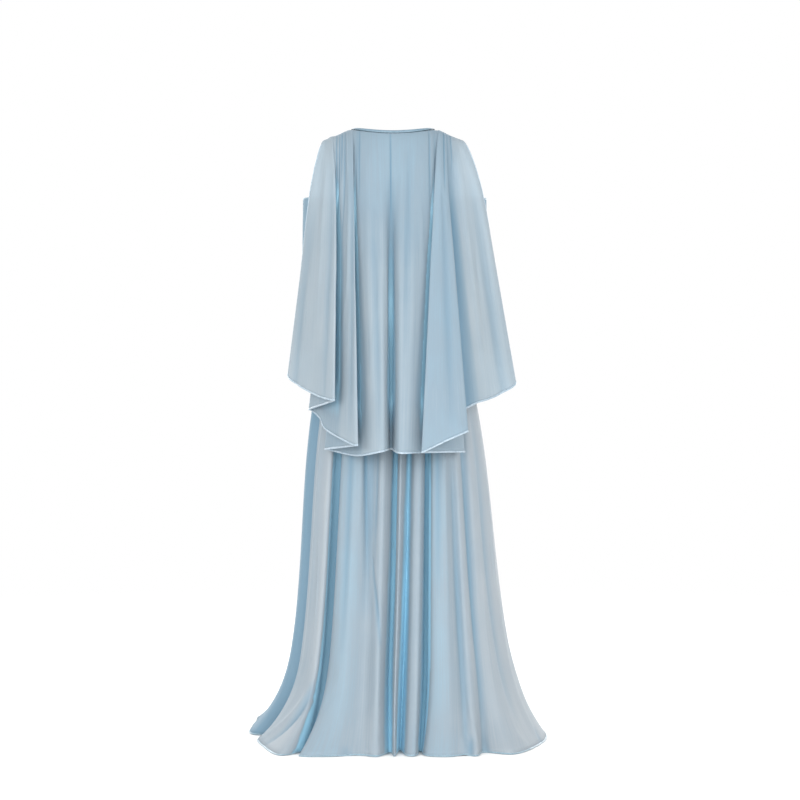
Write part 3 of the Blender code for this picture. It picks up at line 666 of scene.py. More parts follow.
def fold_depth(grid, centre_y):
    """How much each point is closed in by the folds beside it, from 0 on a ridge to 1 in a deep narrow
    fold. It is the sum of the two angles at which the cloth on its left and its right rises above it,
    looking out from the line at centre_y, as a share of half a turn."""
    closed_in = np.zeros(grid.shape[:2])
    for level, points in enumerate(grid[..., :2]):
        out = unit(points - (0.0, centre_y))
        apart = points[None, ::2] - points[:, None]
        rise = (apart * out[:, None]).sum(axis=2)
        aside = apart[..., 0] * out[:, None, 1] - apart[..., 1] * out[:, None, 0]
        angle = np.arctan2(np.maximum(rise, 0.0), np.abs(aside) + FOLD_ROUNDING)
        left = np.where(aside > 0, angle, 0.0).max(axis=1)
        right = np.where(aside < 0, angle, 0.0).max(axis=1)
        closed_in[level] = (left + right) / math.pi
    return smooth_step(FOLD_OPEN, FOLD_SHUT, closed_in)


def layer_room(grid):
    """Distance from each point to the nearest other layer at its level, where the cloth between the two is
    more than LAYER_TURN times as long, so that it has gone round a fold."""
    room = np.empty(grid.shape[:2])
    arc = arc_across(grid)
    for level, points in enumerate(grid):
        apart = np.linalg.norm(points[None] - points[:, None], axis=2)
        along = np.abs(arc[level][None] - arc[level][:, None])
        room[level] = np.where(along > LAYER_TURN * apart, apart, FREE_ROOM).min(axis=1)
    return room


def soften_down(grid):
    """Rounds the bends down a cloth: each point moves towards the middle of those above and below it, again
    and again. The levels held at the top hardly move, and those at the end move less and less."""
    weight = np.ones(len(grid))
    weight[:SOFTEN_HOLD_TOP] = np.linspace(0, 1, SOFTEN_HOLD_TOP) ** 3
    weight[-SOFTEN_HOLD_END:] = np.linspace(1, 0, SOFTEN_HOLD_END)
    weight = weight[1:-1, None, None] * SOFTENING
    for step in range(SOFTEN_TIMES):
        middle = (grid[:-2] + grid[2:]) / 2
        grid[1:-1] += (middle - grid[1:-1]) * weight
    return grid


# Meshes

def new_mesh(name, points, faces):
    mesh = bpy.data.meshes.new(name)
    mesh.from_pydata(points.reshape(-1, 3).tolist(), [], faces)
    return mesh


def add_object(name, data):
    added = bpy.data.objects.new(name, data)
    bpy.context.scene.collection.objects.link(added)
    return added


def place_piece(name, mesh, material):
    mesh.materials.append(material)
    mesh.shade_smooth()
    piece = add_object(name, mesh)
    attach(piece, "root")
    return piece


def grid_faces(levels, across, closed, closed_down=False):
    levels_used = np.arange(levels if closed_down else levels - 1)
    columns_used = np.arange(across if closed else across - 1)
    level, i = np.meshgrid(levels_used, columns_used, indexing="ij")
    below, beside = (level + 1) % levels, (i + 1) % across
    corners = (level * across + i, below * across + i, below * across + beside, level * across + beside)
    return np.stack(corners, axis=-1).reshape(-1, 4)


def cloth(name, grid, material, depth=None, painted_shade_share=None, closed=False, thickness=CLOTH):
    """A thin shell through a grid. Its UV map, cut, is the flat cloth in metres: the way across at the
    widest level and the way down. Its attributes are fold, how deep in a fold each point lies, which picks a
    tone with painted light deep in folds and painted shade where layers lie close, and the painted shade,
    how much of a dark blue is mixed in."""
    levels, across = grid.shape[:2]
    faces = grid_faces(levels, across, closed)
    if not turned_out(grid):
        faces = faces[:, ::-1]
    mesh = new_mesh(name, grid, faces.tolist())
    arc = arc_across(grid)
    widest = arc[np.argmax(arc[:, -1])]
    flat = np.stack([np.broadcast_to(widest, (levels, across)), -way_down(grid)], axis=2).reshape(-1, 2)
    mesh.uv_layers.new(name="cut").data.foreach_set("uv", flat[faces].astype(np.float32).ravel())
    # The first attribute sets the tone, with painted light deep in folds, and the second the share of painted
    # shade.
    for attribute, values in (("fold", depth), ("painted_shade", painted_shade_share)):
        values = np.zeros(levels * across) if values is None else values.reshape(-1)
        stored = mesh.attributes.new(attribute, "FLOAT", "POINT")
        stored.data.foreach_set("value", values.astype(np.float32))
    piece = place_piece(name, mesh, material)
    wall = piece.modifiers.new("wall", "SOLIDIFY")
    wall.thickness = thickness
    wall.offset = 0.0
    return piece


def sweep(name, path, sides, ups, profile, material, closed):
    """A closed profile of (side, up) distances carried along a path, with round ends filled flat. profile
    may have an entry for each point of the path."""
    points = path[:, None] + sides[:, None] * profile[..., 0:1] + ups[:, None] * profile[..., 1:2]
    count, around = points.shape[:2]
    faces = grid_faces(count, around, True, closed)[:, ::-1].tolist()
    if not closed:
        faces.append(list(range(around))[::-1])
        faces.append(list(range((count - 1) * around, count * around)))
    return place_piece(name, new_mesh(name, points, faces), material)


def stitch_row(name, path, outs, material, closed):
    """Short threads end to end along a path: each a six-sided spindle, thickest in its middle, that lies
    on the cloth at a stitch's pitch from the next."""
    ends = np.concatenate([path, path[:1]]) if closed else path
    outs = np.concatenate([outs, outs[:1]]) if closed else outs
    way = np.append(0, np.cumsum(np.linalg.norm(np.diff(ends, axis=0), axis=1)))
    count = int(way[-1] / STITCH_PITCH)
    middles = (np.arange(count) + 0.5) * way[-1] / count
    at = middles[:, None] + column(STITCH_RINGS, 0) * STITCH_LENGTH
    radius = (column(STITCH_RINGS, 1) * STITCH_RADIUS)[:, None, None]
    centre = np.stack([np.interp(at, way, ends[:, k]) for k in range(3)], axis=-1)
    out = unit(np.stack([np.interp(at, way, outs[:, k]) for k in range(3)], axis=-1))
    along = unit(np.gradient(centre, axis=1))
    side = unit(np.cross(along, out))
    turn = whole_turn(STITCH_SIDES)[:, None]
    circle = side[:, :, None] * np.cos(turn) + out[:, :, None] * np.sin(turn)
    rings, points = len(STITCH_RINGS), centre[:, :, None] + circle * radius
    starts = (np.arange(count) * rings * STITCH_SIDES)[:, None, None]
    faces = (grid_faces(rings, STITCH_SIDES, True)[None] + starts).reshape(-1, 4).tolist()
    cap = np.arange(STITCH_SIDES)
    caps = np.stack([cap, cap[::-1] + (rings - 1) * STITCH_SIDES])
    faces += (caps[None] + starts).reshape(-1, STITCH_SIDES).tolist()
    return place_piece(name, new_mesh(name, points, faces), material)


def hem_profile(count, height, half_thickness):
    """The cross-section of a narrow rolled hem, a flattened oval from just past the cloth's edge up its
    height, for each point of a path. Its height wavers as that of a roll guided by hand does."""
    turn = whole_turn(HEM_AROUND)
    at = np.arange(count)[:, None]
    tall = height * (1 + sum(share * np.sin(at * step + start) for share, step, start in HEM_WAVERS))
    side = half_thickness * np.sign(np.cos(turn)) * np.abs(np.cos(turn)) ** HEM_FLATNESS
    up = tall / 2 * (np.sin(turn) - 1) + HEM_PAST_EDGE
    return np.stack([np.broadcast_to(side, up.shape), up], axis=2)


def make_hem(name, path, out, past, sizes, material, thread, closed=False):
    """A rolled hem carried along an edge, and the row of stitches on its outer side. out points away from
    the cloth and past points over its edge."""
    height, half_thickness, stitches_in = sizes
    profile = hem_profile(len(path), height, half_thickness)
    hem = sweep(name + "_hem", path, out, past, profile, material, closed)
    line = path - past * stitches_in + out * (half_thickness + STITCH_LIFT)
    return [hem, stitch_row(name + "_stitches", line, out, thread, closed)]


# Materials

def linear(hex_colour):
    """An sRGB hex colour as the linear RGBA that shaders take."""
    parts = [int(hex_colour[i : i + 2], 16) / 255 for i in (1, 3, 5)]
    return (*[p / 12.92 if p <= 0.04045 else ((p + 0.055) / 1.055) ** 2.4 for p in parts], 1.0)


def add_node(tree, kind, inputs=(), stops=(), **settings):
    """A node with its settings, its inputs set to values or linked to other nodes' outputs, and the places
    and colours of its stops if it is a colour ramp."""
    node = tree.nodes.new(kind)
    for name, value in settings.items():
        setattr(node, name, value)
    for name, value in dict(inputs).items():
        if isinstance(value, bpy.types.NodeSocket):
            tree.links.new(value, node.inputs[name])
        else:
            node.inputs[name].default_value = value
    for at, (place, colour) in enumerate(stops):
        stop = node.color_ramp.elements[at] if at < 2 else node.color_ramp.elements.new(place)
        stop.position = place
        stop.color = linear(colour)
    return node


def new_material(name):
    material = bpy.data.materials.new(name)
    material.use_nodes = True
    material.node_tree.nodes.clear()
    return material, material.node_tree


def polyester_chiffon(name, tones, clear, through):
    """Polyester chiffon, woven of fine twisted yarn and piece-dyed pale blue. One layer is greyish and lets
    light through, layers behind each other in a fold add up to a stronger blue, and the twist gives a dry,
    slightly pebbled surface with a faint sheen where it turns away. Deep in a fold the tone turns pale and
    bright, which is painted light, and both the closer layers and a second attribute add painted shade."""
    material, tree = new_material(name)
    cut = add_node(tree, "ShaderNodeUVMap", uv_map="cut").outputs["UV"]
    noises = []
    for scale, detail, roughness in (WARP_STREAKS, YARN_PEBBLES, CRINKLES):
        stretched = add_node(tree, "ShaderNodeMapping", {"Vector": cut, "Scale": scale}).outputs[0]
        noise = {"Vector": stretched, "Scale": 1.0, "Detail": detail, "Roughness": roughness}
        noises.append(add_node(tree, "ShaderNodeTexNoise", noise).outputs["Fac"])
    streaks, pebbles, crinkles = noises
    cloud = {"Vector": cut, "Scale": 9.0, "Detail": 2.0}
    cloudy = add_node(tree, "ShaderNodeTexNoise", cloud).outputs["Fac"]
    # Painted light and shade: the attribute fold picks the tone, partly painted shade where layers lie close
    # and painted light, pale and bright, deep in a fold.
    layers = add_node(tree, "ShaderNodeAttribute", attribute_name="fold").outputs["Fac"]
    for noise, share in ((streaks, 0.20), (cloudy, 0.12)):
        mottled = {0: noise, 1: share, 2: layers}
        layers = add_node(tree, "ShaderNodeMath", mottled, operation="MULTIPLY_ADD").outputs[0]
    tone = add_node(tree, "ShaderNodeValToRGB", {"Fac": layers}, zip(TONE_PLACES, tones)).outputs["Color"]
    # Painted shade: the second attribute mixes in a dark blue.
    painted_shade = add_node(tree, "ShaderNodeAttribute", attribute_name="painted_shade").outputs["Fac"]
    shade_mix = {"Factor": painted_shade, "A": tone, "B": linear(PAINTED_SHADE_TONE)}
    dyed_and_shaded = add_node(tree, "ShaderNodeMix", shade_mix, data_type="RGBA").outputs["Result"]
    pebble_bump = add_node(tree, "ShaderNodeBump", {"Height": pebbles, "Strength": 0.25, "Distance": 0.0003})
    bump = add_node(
        tree, "ShaderNodeBump",
        {"Height": crinkles, "Strength": 0.35, "Distance": 0.0008, "Normal": pebble_bump.outputs[0]},
    ).outputs[0]
    lit = add_node(
        tree, "ShaderNodeBsdfPrincipled",
        {
            "Base Color": dyed_and_shaded, "Roughness": 0.72, "IOR": 1.5, "Specular IOR Level": 0.35,
            "Sheen Weight": 0.22, "Sheen Roughness": 0.45, "Sheen Tint": linear(SHEEN_TINT), "Normal": bump,
        },
    ).outputs[0]
    glow = add_node(tree, "ShaderNodeBsdfTranslucent", {"Color": dyed_and_shaded, "Normal": bump}).outputs[0]
    cloth_shader = add_node(tree, "ShaderNodeMixShader", {0: through, 1: lit, 2: glow}).outputs[0]
    open_shader = add_node(tree, "ShaderNodeBsdfTransparent", {"Color": linear(CLEAR_TINT)}).outputs[0]
    whole = add_node(tree, "ShaderNodeMixShader", {0: clear, 1: cloth_shader, 2: open_shader}).outputs[0]
    add_node(tree, "ShaderNodeOutputMaterial", {"Surface": whole})
    return material


def rolled_chiffon(name, tones):
    """The same chiffon turned over itself three times at an edge and pressed: denser than one layer, with
    a slight gloss along the roll and an uneven tone where the layers shift."""
    material, tree = new_material(name)
    place = add_node(tree, "ShaderNodeTexCoord").outputs["Object"]
    rolled = {"Vector": place, "Scale": 240.0, "Detail": 2.0}
    twist = add_node(tree, "ShaderNodeTexNoise", rolled).outputs["Fac"]
    ramp = add_node(tree, "ShaderNodeValToRGB", {"Fac": twist}, zip((0.30, 0.62), tones))
    bump = add_node(tree, "ShaderNodeBump", {"Height": twist, "Strength": 0.5, "Distance": 0.0004}).outputs[0]
    lit = add_node(
        tree, "ShaderNodeBsdfPrincipled",
        {
            "Base Color": ramp.outputs["Color"], "Roughness": 0.45, "IOR": 1.5, "Specular IOR Level": 0.5,
            "Sheen Weight": 0.3, "Sheen Roughness": 0.4, "Normal": bump,
        },
    ).outputs[0]
    add_node(tree, "ShaderNodeOutputMaterial", {"Surface": lit})
    return material


def polyester_crepe():
    """Matt crepe of the bodice, a close plain weave with a little more body than the chiffon: opaque, an
    even blue, with no gloss."""
    material, tree = new_material("polyester crepe")
    cut = add_node(tree, "ShaderNodeUVMap", uv_map="cut").outputs["UV"]
    cloud = {"Vector": cut, "Scale": 14.0, "Detail": 3.0}
    cloudy = add_node(tree, "ShaderNodeTexNoise", cloud).outputs["Fac"]
    ramp = add_node(tree, "ShaderNodeValToRGB", {"Fac": cloudy}, zip((0.25, 0.75), CREPE_TONES))
    # Yarns lie 0.35 mm apart. They are drawn 1.4 mm apart, or they wouldn't show.
    yarns = add_node(tree, "ShaderNodeMapping", {"Vector": cut, "Scale": (710.0, 710.0, 1.0)}).outputs[0]
    weave = add_node(tree, "ShaderNodeTexVoronoi", {"Vector": yarns, "Scale": 1.0}, distance="CHEBYCHEV")
    bump = add_node(
        tree, "ShaderNodeBump", {"Height": weave.outputs["Distance"], "Strength": 0.3, "Distance": 0.0003}
    ).outputs[0]
    lit = add_node(
        tree, "ShaderNodeBsdfPrincipled",
        {
            "Base Color": ramp.outputs["Color"], "Roughness": 0.82, "IOR": 1.5, "Specular IOR Level": 0.3,
            "Sheen Weight": 0.15, "Sheen Roughness": 0.5, "Normal": bump,
        },
    ).outputs[0]
    add_node(tree, "ShaderNodeOutputMaterial", {"Surface": lit})
    return material


def spun_thread():
    """Spun polyester sewing thread: matt, twisted, a shade paler than the cloth."""
    material, tree = new_material("spun polyester thread")
    place = add_node(tree, "ShaderNodeTexCoord").outputs["Object"]
    wound = {"Vector": place, "Scale": 900.0, "Distortion": 1.0}
    twist = add_node(tree, "ShaderNodeTexWave", wound).outputs["Fac"]
    twisted = {"Factor": twist, "A": linear(THREAD_TONES[0]), "B": linear(THREAD_TONES[1])}
    colour = add_node(tree, "ShaderNodeMix", twisted, data_type="RGBA").outputs["Result"]
    bump = add_node(tree, "ShaderNodeBump", {"Height": twist, "Strength": 0.4, "Distance": 0.0001}).outputs[0]
    spun = {"Base Color": colour, "Roughness": 0.6, "Normal": bump}
    lit = add_node(tree, "ShaderNodeBsdfPrincipled", spun).outputs[0]
    add_node(tree, "ShaderNodeOutputMaterial", {"Surface": lit})
    return material


def matt_paper():
    """The floor: seamless background paper, matt and nearly white, which fades into the light far away."""
    material, tree = new_material("matt background paper")
    place = add_node(tree, "ShaderNodeTexCoord").outputs["Object"]
    pulp = {"Vector": place, "Scale": 3.0, "Detail": 2.0}
    grain = add_node(tree, "ShaderNodeTexNoise", pulp).outputs["Fac"]
    ramp = add_node(tree, "ShaderNodeValToRGB", {"Fac": grain}, zip((0.0, 1.0), PAPER_TONES))
    matt = {"Base Color": ramp.outputs["Color"], "Roughness": 0.95}
    lit = add_node(tree, "ShaderNodeBsdfPrincipled", matt).outputs[0]
    far = add_node(tree, "ShaderNodeVectorMath", {0: place}, operation="LENGTH").outputs["Value"]
    edge = {"Value": far, "From Min": 1.7, "From Max": 4.2}
    fade = add_node(tree, "ShaderNodeMapRange", edge, interpolation_type="SMOOTHSTEP").outputs["Result"]
    open_shader = add_node(tree, "ShaderNodeBsdfTransparent").outputs[0]
    whole = add_node(tree, "ShaderNodeMixShader", {0: fade, 1: lit, 2: open_shader}).outputs[0]
    add_node(tree, "ShaderNodeOutputMaterial", {"Surface": whole})
    return material


# The form that the cloth rests on

def shoulder_line(x):
    """Height of the shoulder seam at x, carried on over the neck."""
    beside = NECK_POINT_Z - SHOULDER_SLOPE * (np.abs(x) - NECK_HALF)
    over_neck = NECK_POINT_Z + NECK_RISE * (1 - (x / NECK_HALF) ** 2)
    return np.where(np.abs(x) < NECK_HALF, over_neck, beside)


def top_edge(x, neck_drop):
    """Height of a panel's upper edge: the neckline between the neck points, then the shoulder seam."""
    neckline = NECK_POINT_Z - neck_drop * (1 - (x / NECK_HALF) ** 2)
    return np.where(np.abs(x) < NECK_HALF, neckline, shoulder_line(x))


def torso_size(z, name):
    return along_table(z, TORSO, TORSO_COLUMNS, name)


def edge_turn(z):
    """Angle round the form at which a panel ends: a quarter turn at the side seam, less at the armhole."""
    below = smooth_step(ARMHOLE_LOW_Z, UNDERARM_Z, z)
    return ARMHOLE_TURN + (math.pi / 2 - ARMHOLE_TURN) * below


def rounded_drop(drop):
    """From 0 at the shoulder line to 1 where the back and chest are fully out, along a quarter circle."""
    return np.sqrt(1 - (1 - np.clip(drop, 0.0, 1.0)) ** 2)


def torso_y(x, z, depth_name, side):
    """Place of the form's front or back surface at x and z. side is 1 at the back and -1 in front."""
    share = np.clip(np.abs(x) / torso_size(z, "half_width"), 0.0, 1.0) * np.sin(edge_turn(z))
    rounded = rounded_drop((shoulder_line(x) - z) / SHOULDER_ROUND)
    return side * (SEAM_OFFSET + torso_size(z, depth_name) * np.sqrt(1 - share**2) * rounded)


def draped_y(x, z, lift):
    """How far back the cape lies at x and z where it rests on the back and the rounded shoulders."""
    left = along_table(z, SHOULDER_SPAN, SHOULDER_SPAN_COLUMNS, "left")
    right = along_table(z, SHOULDER_SPAN, SHOULDER_SPAN_COLUMNS, "right")
    share = np.clip(np.abs(x) / (np.where(x >= 0, left, right) + lift), 0.0, 1.0)
    rounded = rounded_drop((shoulder_line(x) + lift - z) / (SHOULDER_ROUND + lift))
    return SEAM_OFFSET + (torso_size(z, "back_depth") + lift) * np.sqrt(1 - share**2) * rounded


# Bodice

def bodice_grid(side, depth_name, neck_drop):
    """Columns from side to side, evenly spaced in angle over the neck, each from the top edge to the
    waist."""
    over_neck = NECK_HALF * np.sin(np.linspace(0, math.pi / 2, BODICE_NECK_STEPS))
    starts = np.append(over_neck, np.linspace(NECK_HALF, TIP_HALF, BODICE_SHOULDER_STEPS)[1:])
    starts = np.concatenate([-starts[:0:-1], starts])
    top = top_edge(starts, neck_drop)
    share = np.arcsin(starts / torso_size(top, "half_width") * math.sin(ARMHOLE_TURN)) / ARMHOLE_TURN
    upper = top - SHOULDER_FALL * np.linspace(0, 1, BODICE_UPPER_LEVELS)[:, None] ** BODICE_CLOSER
    lower = upper[-1:] + np.linspace(0, 1, BODICE_LOWER_LEVELS)[1:, None] * (WAIST_Z - upper[-1:])
    z = np.concatenate([upper, lower])
    turns = edge_turn(z)
    x = torso_size(z, "half_width") * np.sin(share * turns) / np.sin(turns)
    return np.stack([x, torso_y(x, z, depth_name, side), z], axis=2)


def make_bodice(material):
    """Both panels, with two waist darts each as narrow sewn troughs."""
    for name, side, neck_drop, flat in BODICE_PANELS:
        grid = bodice_grid(side, name + "_depth", neck_drop)
        bumps = crease_heights(grid, np.linspace(0, 1, grid.shape[1]), DARTS[name])[0]
        grid = grid + outward(grid) * bumps[..., None]
        piece = cloth(name + "_bodice_cloth", grid, material)
        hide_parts("bodice_" + name)


# Neck binding

def neck_path(count):
    """The neckline's edge, a ring with even steps of angle: x is the cosine, so it turns round at the neck
    points, and y and z follow the back and front bodice."""
    turn = whole_turn(count)
    x = NECK_HALF * np.cos(turn)
    back = np.sin(turn) >= 0
    z = np.where(back, top_edge(x, BACK_NECK_DROP), top_edge(x, FRONT_NECK_DROP))
    y = np.where(back, torso_y(x, z, "back_depth", 1), torso_y(x, z, "front_depth", -1))
    return np.stack([x, y, z], axis=1)


def make_neck_binding(material, thread):
    """A bias strip folded over the neckline's edge: two straight legs and a round fold, a little puffed."""
    path = neck_path(BINDING_POINTS)
    along = unit(np.roll(path, -1, axis=0) - np.roll(path, 1, axis=0))
    sine = path[:, 0] / NECK_HALF
    up = np.stack([-sine, 0 * sine, np.sqrt(1 - sine**2)], axis=1)
    up = unit(up - along * (up * along).sum(axis=1, keepdims=True))
    out = unit(np.cross(along, up))
    away = np.stack([0 * sine, path[:, 1], np.full(len(path), BINDING_AWAY)], axis=1)
    out *= np.sign((out * away).sum(axis=1))[:, None]
    half, middle = (BINDING_OUTSIDE - BINDING_INSIDE) / 2, (BINDING_OUTSIDE + BINDING_INSIDE) / 2
    bend = np.linspace(0, math.pi, BINDING_BEND_POINTS)
    leg = np.linspace(BINDING_BASE, BINDING_TOP - half, BINDING_LEG_POINTS + 1)[:-1]
    inside, outside = np.full(len(leg), BINDING_INSIDE), np.full(len(leg), BINDING_OUTSIDE)
    outs = np.concatenate([inside, middle - half * np.cos(bend), outside])
    ups = np.concatenate([leg, BINDING_TOP - half + half * np.sin(bend), leg[::-1]])
    outs += BINDING_PUFF * np.sign(outs - middle) * np.sin(np.linspace(0, math.pi, len(outs)))
    ring = path[None] + out[None] * outs[:, None, None] + up[None] * ups[:, None, None]
    piece = cloth("neckline_binding", ring, material, closed=True, thickness=BINDING_CLOTH)
    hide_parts("neck_binding")
    line = path + out * (BINDING_OUTSIDE + BINDING_STITCH_OUT) + up * BINDING_STITCH_UP
    stitches = stitch_row("neckline_stitches", line, out, thread, closed=True)


# Sleeves

def make_sleeve(side_name, side, material, hem_material, thread):
    """A tube, an ellipse at each height, with small creases and a narrow hem at both ends. Its two sides
    show through each other, so it has the tone of two layers, and an even share of painted shade."""
    heights = np.linspace(SLEEVE_TOP_Z, SLEEVE_END_Z, SLEEVE_LEVELS)
    turns = np.linspace(0, 2 * math.pi, SLEEVE_AROUND)
    inner, outer, middle_y, half_depth = (
        along_table(heights, SLEEVE, SLEEVE_COLUMNS, name)[:, None]
        for name in (side_name + "_inner", side_name + "_outer", "middle_y", "half_depth")
    )
    x, y = side * (outer - inner) / 2 * np.sin(turns), half_depth * np.cos(turns)
    tube = np.stack([x, y, np.broadcast_to(heights[:, None], x.shape)], axis=2)
    from_seam = np.clip(np.minimum(turns, 2 * math.pi - turns) / SLEEVE_SEAM_TURN, 0, 1)
    from_ends = np.sin(np.linspace(0, math.pi, len(heights)))[:, None] ** SLEEVE_END_FADE
    bumps = streak_heights(tube, *SLEEVE_STREAKS[side_name]) * from_seam * from_ends
    tube = tube + outward(tube) * bumps[..., None]
    tube[..., 0] += side * (inner + outer) / 2
    tube[..., 1] += middle_y
    tube = tube[:, :-1]
    # An even tone of two layers, and an even share of painted shade.
    depth, painted_shade_share = np.full(tube.shape[:2], SLEEVE_FOLD), np.full(tube.shape[:2], SLEEVE_SHADE)
    piece = cloth(side_name + "_sleeve_cloth", tube, material, depth, painted_shade_share, closed=True)
    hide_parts("sleeve_" + side_name)
    hems = []
    centre = tube.mean(axis=1, keepdims=True)
    for end_name, level, down in (("top", 0, -1.0), ("cuff", -1, 1.0)):
        path = tube[level]
        out = unit((path - centre[level]) * (1, 1, 0))
        past = np.broadcast_to((0.0, 0.0, down), path.shape)
        name = f"{side_name}_sleeve_{end_name}"
        hems += make_hem(name, path, out, past, SLEEVE_HEM, hem_material, thread, closed=True)


# Cape

def cape_grid():
    """Each fold rests on the back down to the shoulder blades, and from there hangs straight to its hem."""
    radii = column(CAPE, 1)
    rows = np.array([row[2:] for row in CAPE], float)
    hem_rows, places = split_turns(rows[:, 4:], radii)
    counts = span_counts(hem_rows, closed=False)
    places = fold_places(places, counts, closed=False)
    top_x, top_lift, blade_x, blade_lift = rows[:, :4].T
    levels = []
    for drop in BLADE_DROP * np.linspace(0, 1, CAPE_REST_LEVELS) ** CAPE_CLOSER:
        down = drop / BLADE_DROP
        x = top_x + (blade_x - top_x) * down**OVER_SHOULDER
        lift = top_lift + (blade_lift - top_lift) * down
        folds = split_turns(np.stack([x, lift, top_x], axis=1), radii)[0]
        x, lift, seam_x = through_rows(folds, counts, closed=False).T
        on_seam = smooth_step(NECK_HALF, NECK_HALF + NECK_EASE, np.abs(seam_x))
        lift = lift + WALL + CAPE_CLEARANCE + (1 - on_seam) * NECK_CLEARANCE
        lift = lift + BACK_CLEARANCE * min(drop / CLEARANCE_DROP, 1)
        edge_z = top_edge(seam_x, BACK_NECK_DROP) + on_seam * lift - (1 - on_seam) * CAPE_BELOW_BINDING
        z = edge_z - drop - on_seam * lift * down
        levels.append(np.stack([x, draped_y(x, z, lift), z], axis=1))
    hem = through_rows(hem_rows, counts, closed=False)
    hem[:, 2] += by_fold(HEM_DIPS, places)
    hang = np.linspace(0, 1, CAPE_HANG_LEVELS + 1)[1:, None, None]
    return np.concatenate([np.stack(levels), levels[-1] + (hem - levels[-1]) * hang]), places


def cape_bumps(grid, places, down, out):
    """Heights of the creases and streaks along the normals, kept clear of the cape's other layers and, near
    its top, of the back. Also gives the painted shade along the troughs."""
    bumps, shades = crease_heights(grid, places, CAPE_CREASES)
    bumps += streak_heights(grid, *CAPE_STREAKS) * smooth_step(*CAPE_STREAKS_START, down)
    bumps *= smooth_step(*CAPE_BUMPS_START, down)
    room = LAYER_SHARE * layer_room(grid)
    bumps = np.clip(bumps, -room, room)
    inner_z = np.minimum(grid[..., 2], INNER_LINE_TOP)
    inner_line = np.stack([INNER_LINE_SHARE * grid[..., 0], 0 * down, inner_z], axis=2)
    inward = np.maximum(-bumps * (out * unit(grid - inner_line)).sum(axis=2), 0.0)
    near_back = 1 - smooth_step(*CAPE_LEAVES_BACK, down)
    back_room = BACK_ROOM + BACK_ROOM_MORE * smooth_step(*BACK_ROOM_CHANGE, down)
    limit = FREE_ROOM + (back_room - FREE_ROOM) * near_back
    return bumps * np.minimum(1.0, limit / np.maximum(inward, 1e-9)), shades


def cape_tones(grid, places, down, shades):
    """The attributes fold and the painted shade: the depth of the folds, whose deep tone is painted light, or
    the layers behind where they show more, partly painted shade, and the painted shade of creases, the recess
    and the deepest folds."""
    # The fold depth picks the tone; deep in a fold that tone is painted light.
    folds = fold_depth(grid, CAPE_CENTRE_Y) * smooth_step(*CAPE_FOLDS_START, down)
    closed_in = np.minimum(folds * by_fold(CAPE_FOLD_TONE_GAIN, places), 1.0)
    closed_in *= 1 - HEM_FOLD_LOST * smooth_step(*CAPE_HEM_FADE, down / down[-1:])
    # The layer table adds a darker tone, partly layers behind and partly painted shade.
    top, low = by_fold(CAPE_LAYERS_AND_SHADE, places, 1), by_fold(CAPE_LAYERS_AND_SHADE, places, 2)
    depth = np.maximum(closed_in, top + (low - top) * smooth_step(*CAPE_LAYERS_CHANGE, down))
    # Painted shade in the recess beside the right ridge, along the troughs and along the bottom of the
    # deepest folds.
    recess = by_fold(CAPE_RECESS_SHADE, places) * smooth_step(*CAPE_RECESS_START, down)
    painted_shade_share = np.maximum(shades, recess) * (1 - SHADE_LOST * closed_in)
    return depth, painted_shade_share + CAPE_DEEP_FOLD_SHADE * smooth_step(*DEEP_FOLD, closed_in)


def make_cape(material, hem_material, thread):
    """The cape, its creases and streaks pushed out along its normals, and the rolled hem on its three free
    edges with a row of stitches."""
    grid, places = cape_grid()
    grid = soften_down(grid)
    down, out = way_down(grid), outward(grid)
    bumps, shades = cape_bumps(grid, places, down, out)
    grid = grid + out * bumps[..., None]
    depth, painted_shade_share = cape_tones(grid, places, down, shades)
    piece = cloth("cape_cloth", grid, material, depth, painted_shade_share)
    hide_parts("cape")
    normals, first = outward(grid), CAPE_SIDE_HEM_LEVEL
    parts = []
    for edge_name, edge, beside, hem in (
        ("bottom", np.s_[-1, :], np.s_[-2, :], CAPE_HEM),
        ("left", np.s_[first:, 0], np.s_[first:, 1], CAPE_SIDE_HEM),
        ("right", np.s_[first:, -1], np.s_[first:, -2], CAPE_SIDE_HEM),
    ):
        past = unit(grid[edge] - grid[beside])
        parts += make_hem("cape_" + edge_name, grid[edge], normals[edge], past, hem, hem_material, thread)


# Skirt

def skirt_ring(rows, height, counts):
    """A ring of points. Each fold moves out from the waist to its place at LOW_Z, then out on the floor."""
    turns, hip, low, hem = np.radians(rows[:, 0]), rows[:, 1:2], rows[:, 2:4], rows[:, 4:6]
    half_width, back_depth, front_depth = (torso_size(WAIST_Z, name) for name in TORSO_COLUMNS[1:])
    depth = np.where(np.cos(turns) > 0, back_depth, front_depth)
    waist = np.stack([half_width * np.sin(turns), depth * np.cos(turns)], axis=1)
    flare_z = WAIST_Z - WAIST_SEAM
    fall = max((flare_z - height) / (flare_z - LOW_Z), 0.0)
    full_fall = (flare_z - FLOOR_Z) / (flare_z - LOW_Z)
    over_hips = HIP_SCALE * min(fall, 1.0) * (1 - min(fall, 1.0)) ** 2
    hanging = waist + (low - waist) * (fall + hip * over_hips)
    run_out = hem - (waist + (low - waist) * full_fall)
    spread = max((LOW_Z - height) / (LOW_Z - FLOOR_Z), 0.0) ** FLOOR_SPREAD
    plan = through_rows(hanging + run_out * spread, counts, closed=True)
    return np.column_stack([plan, np.full(len(plan), height)])


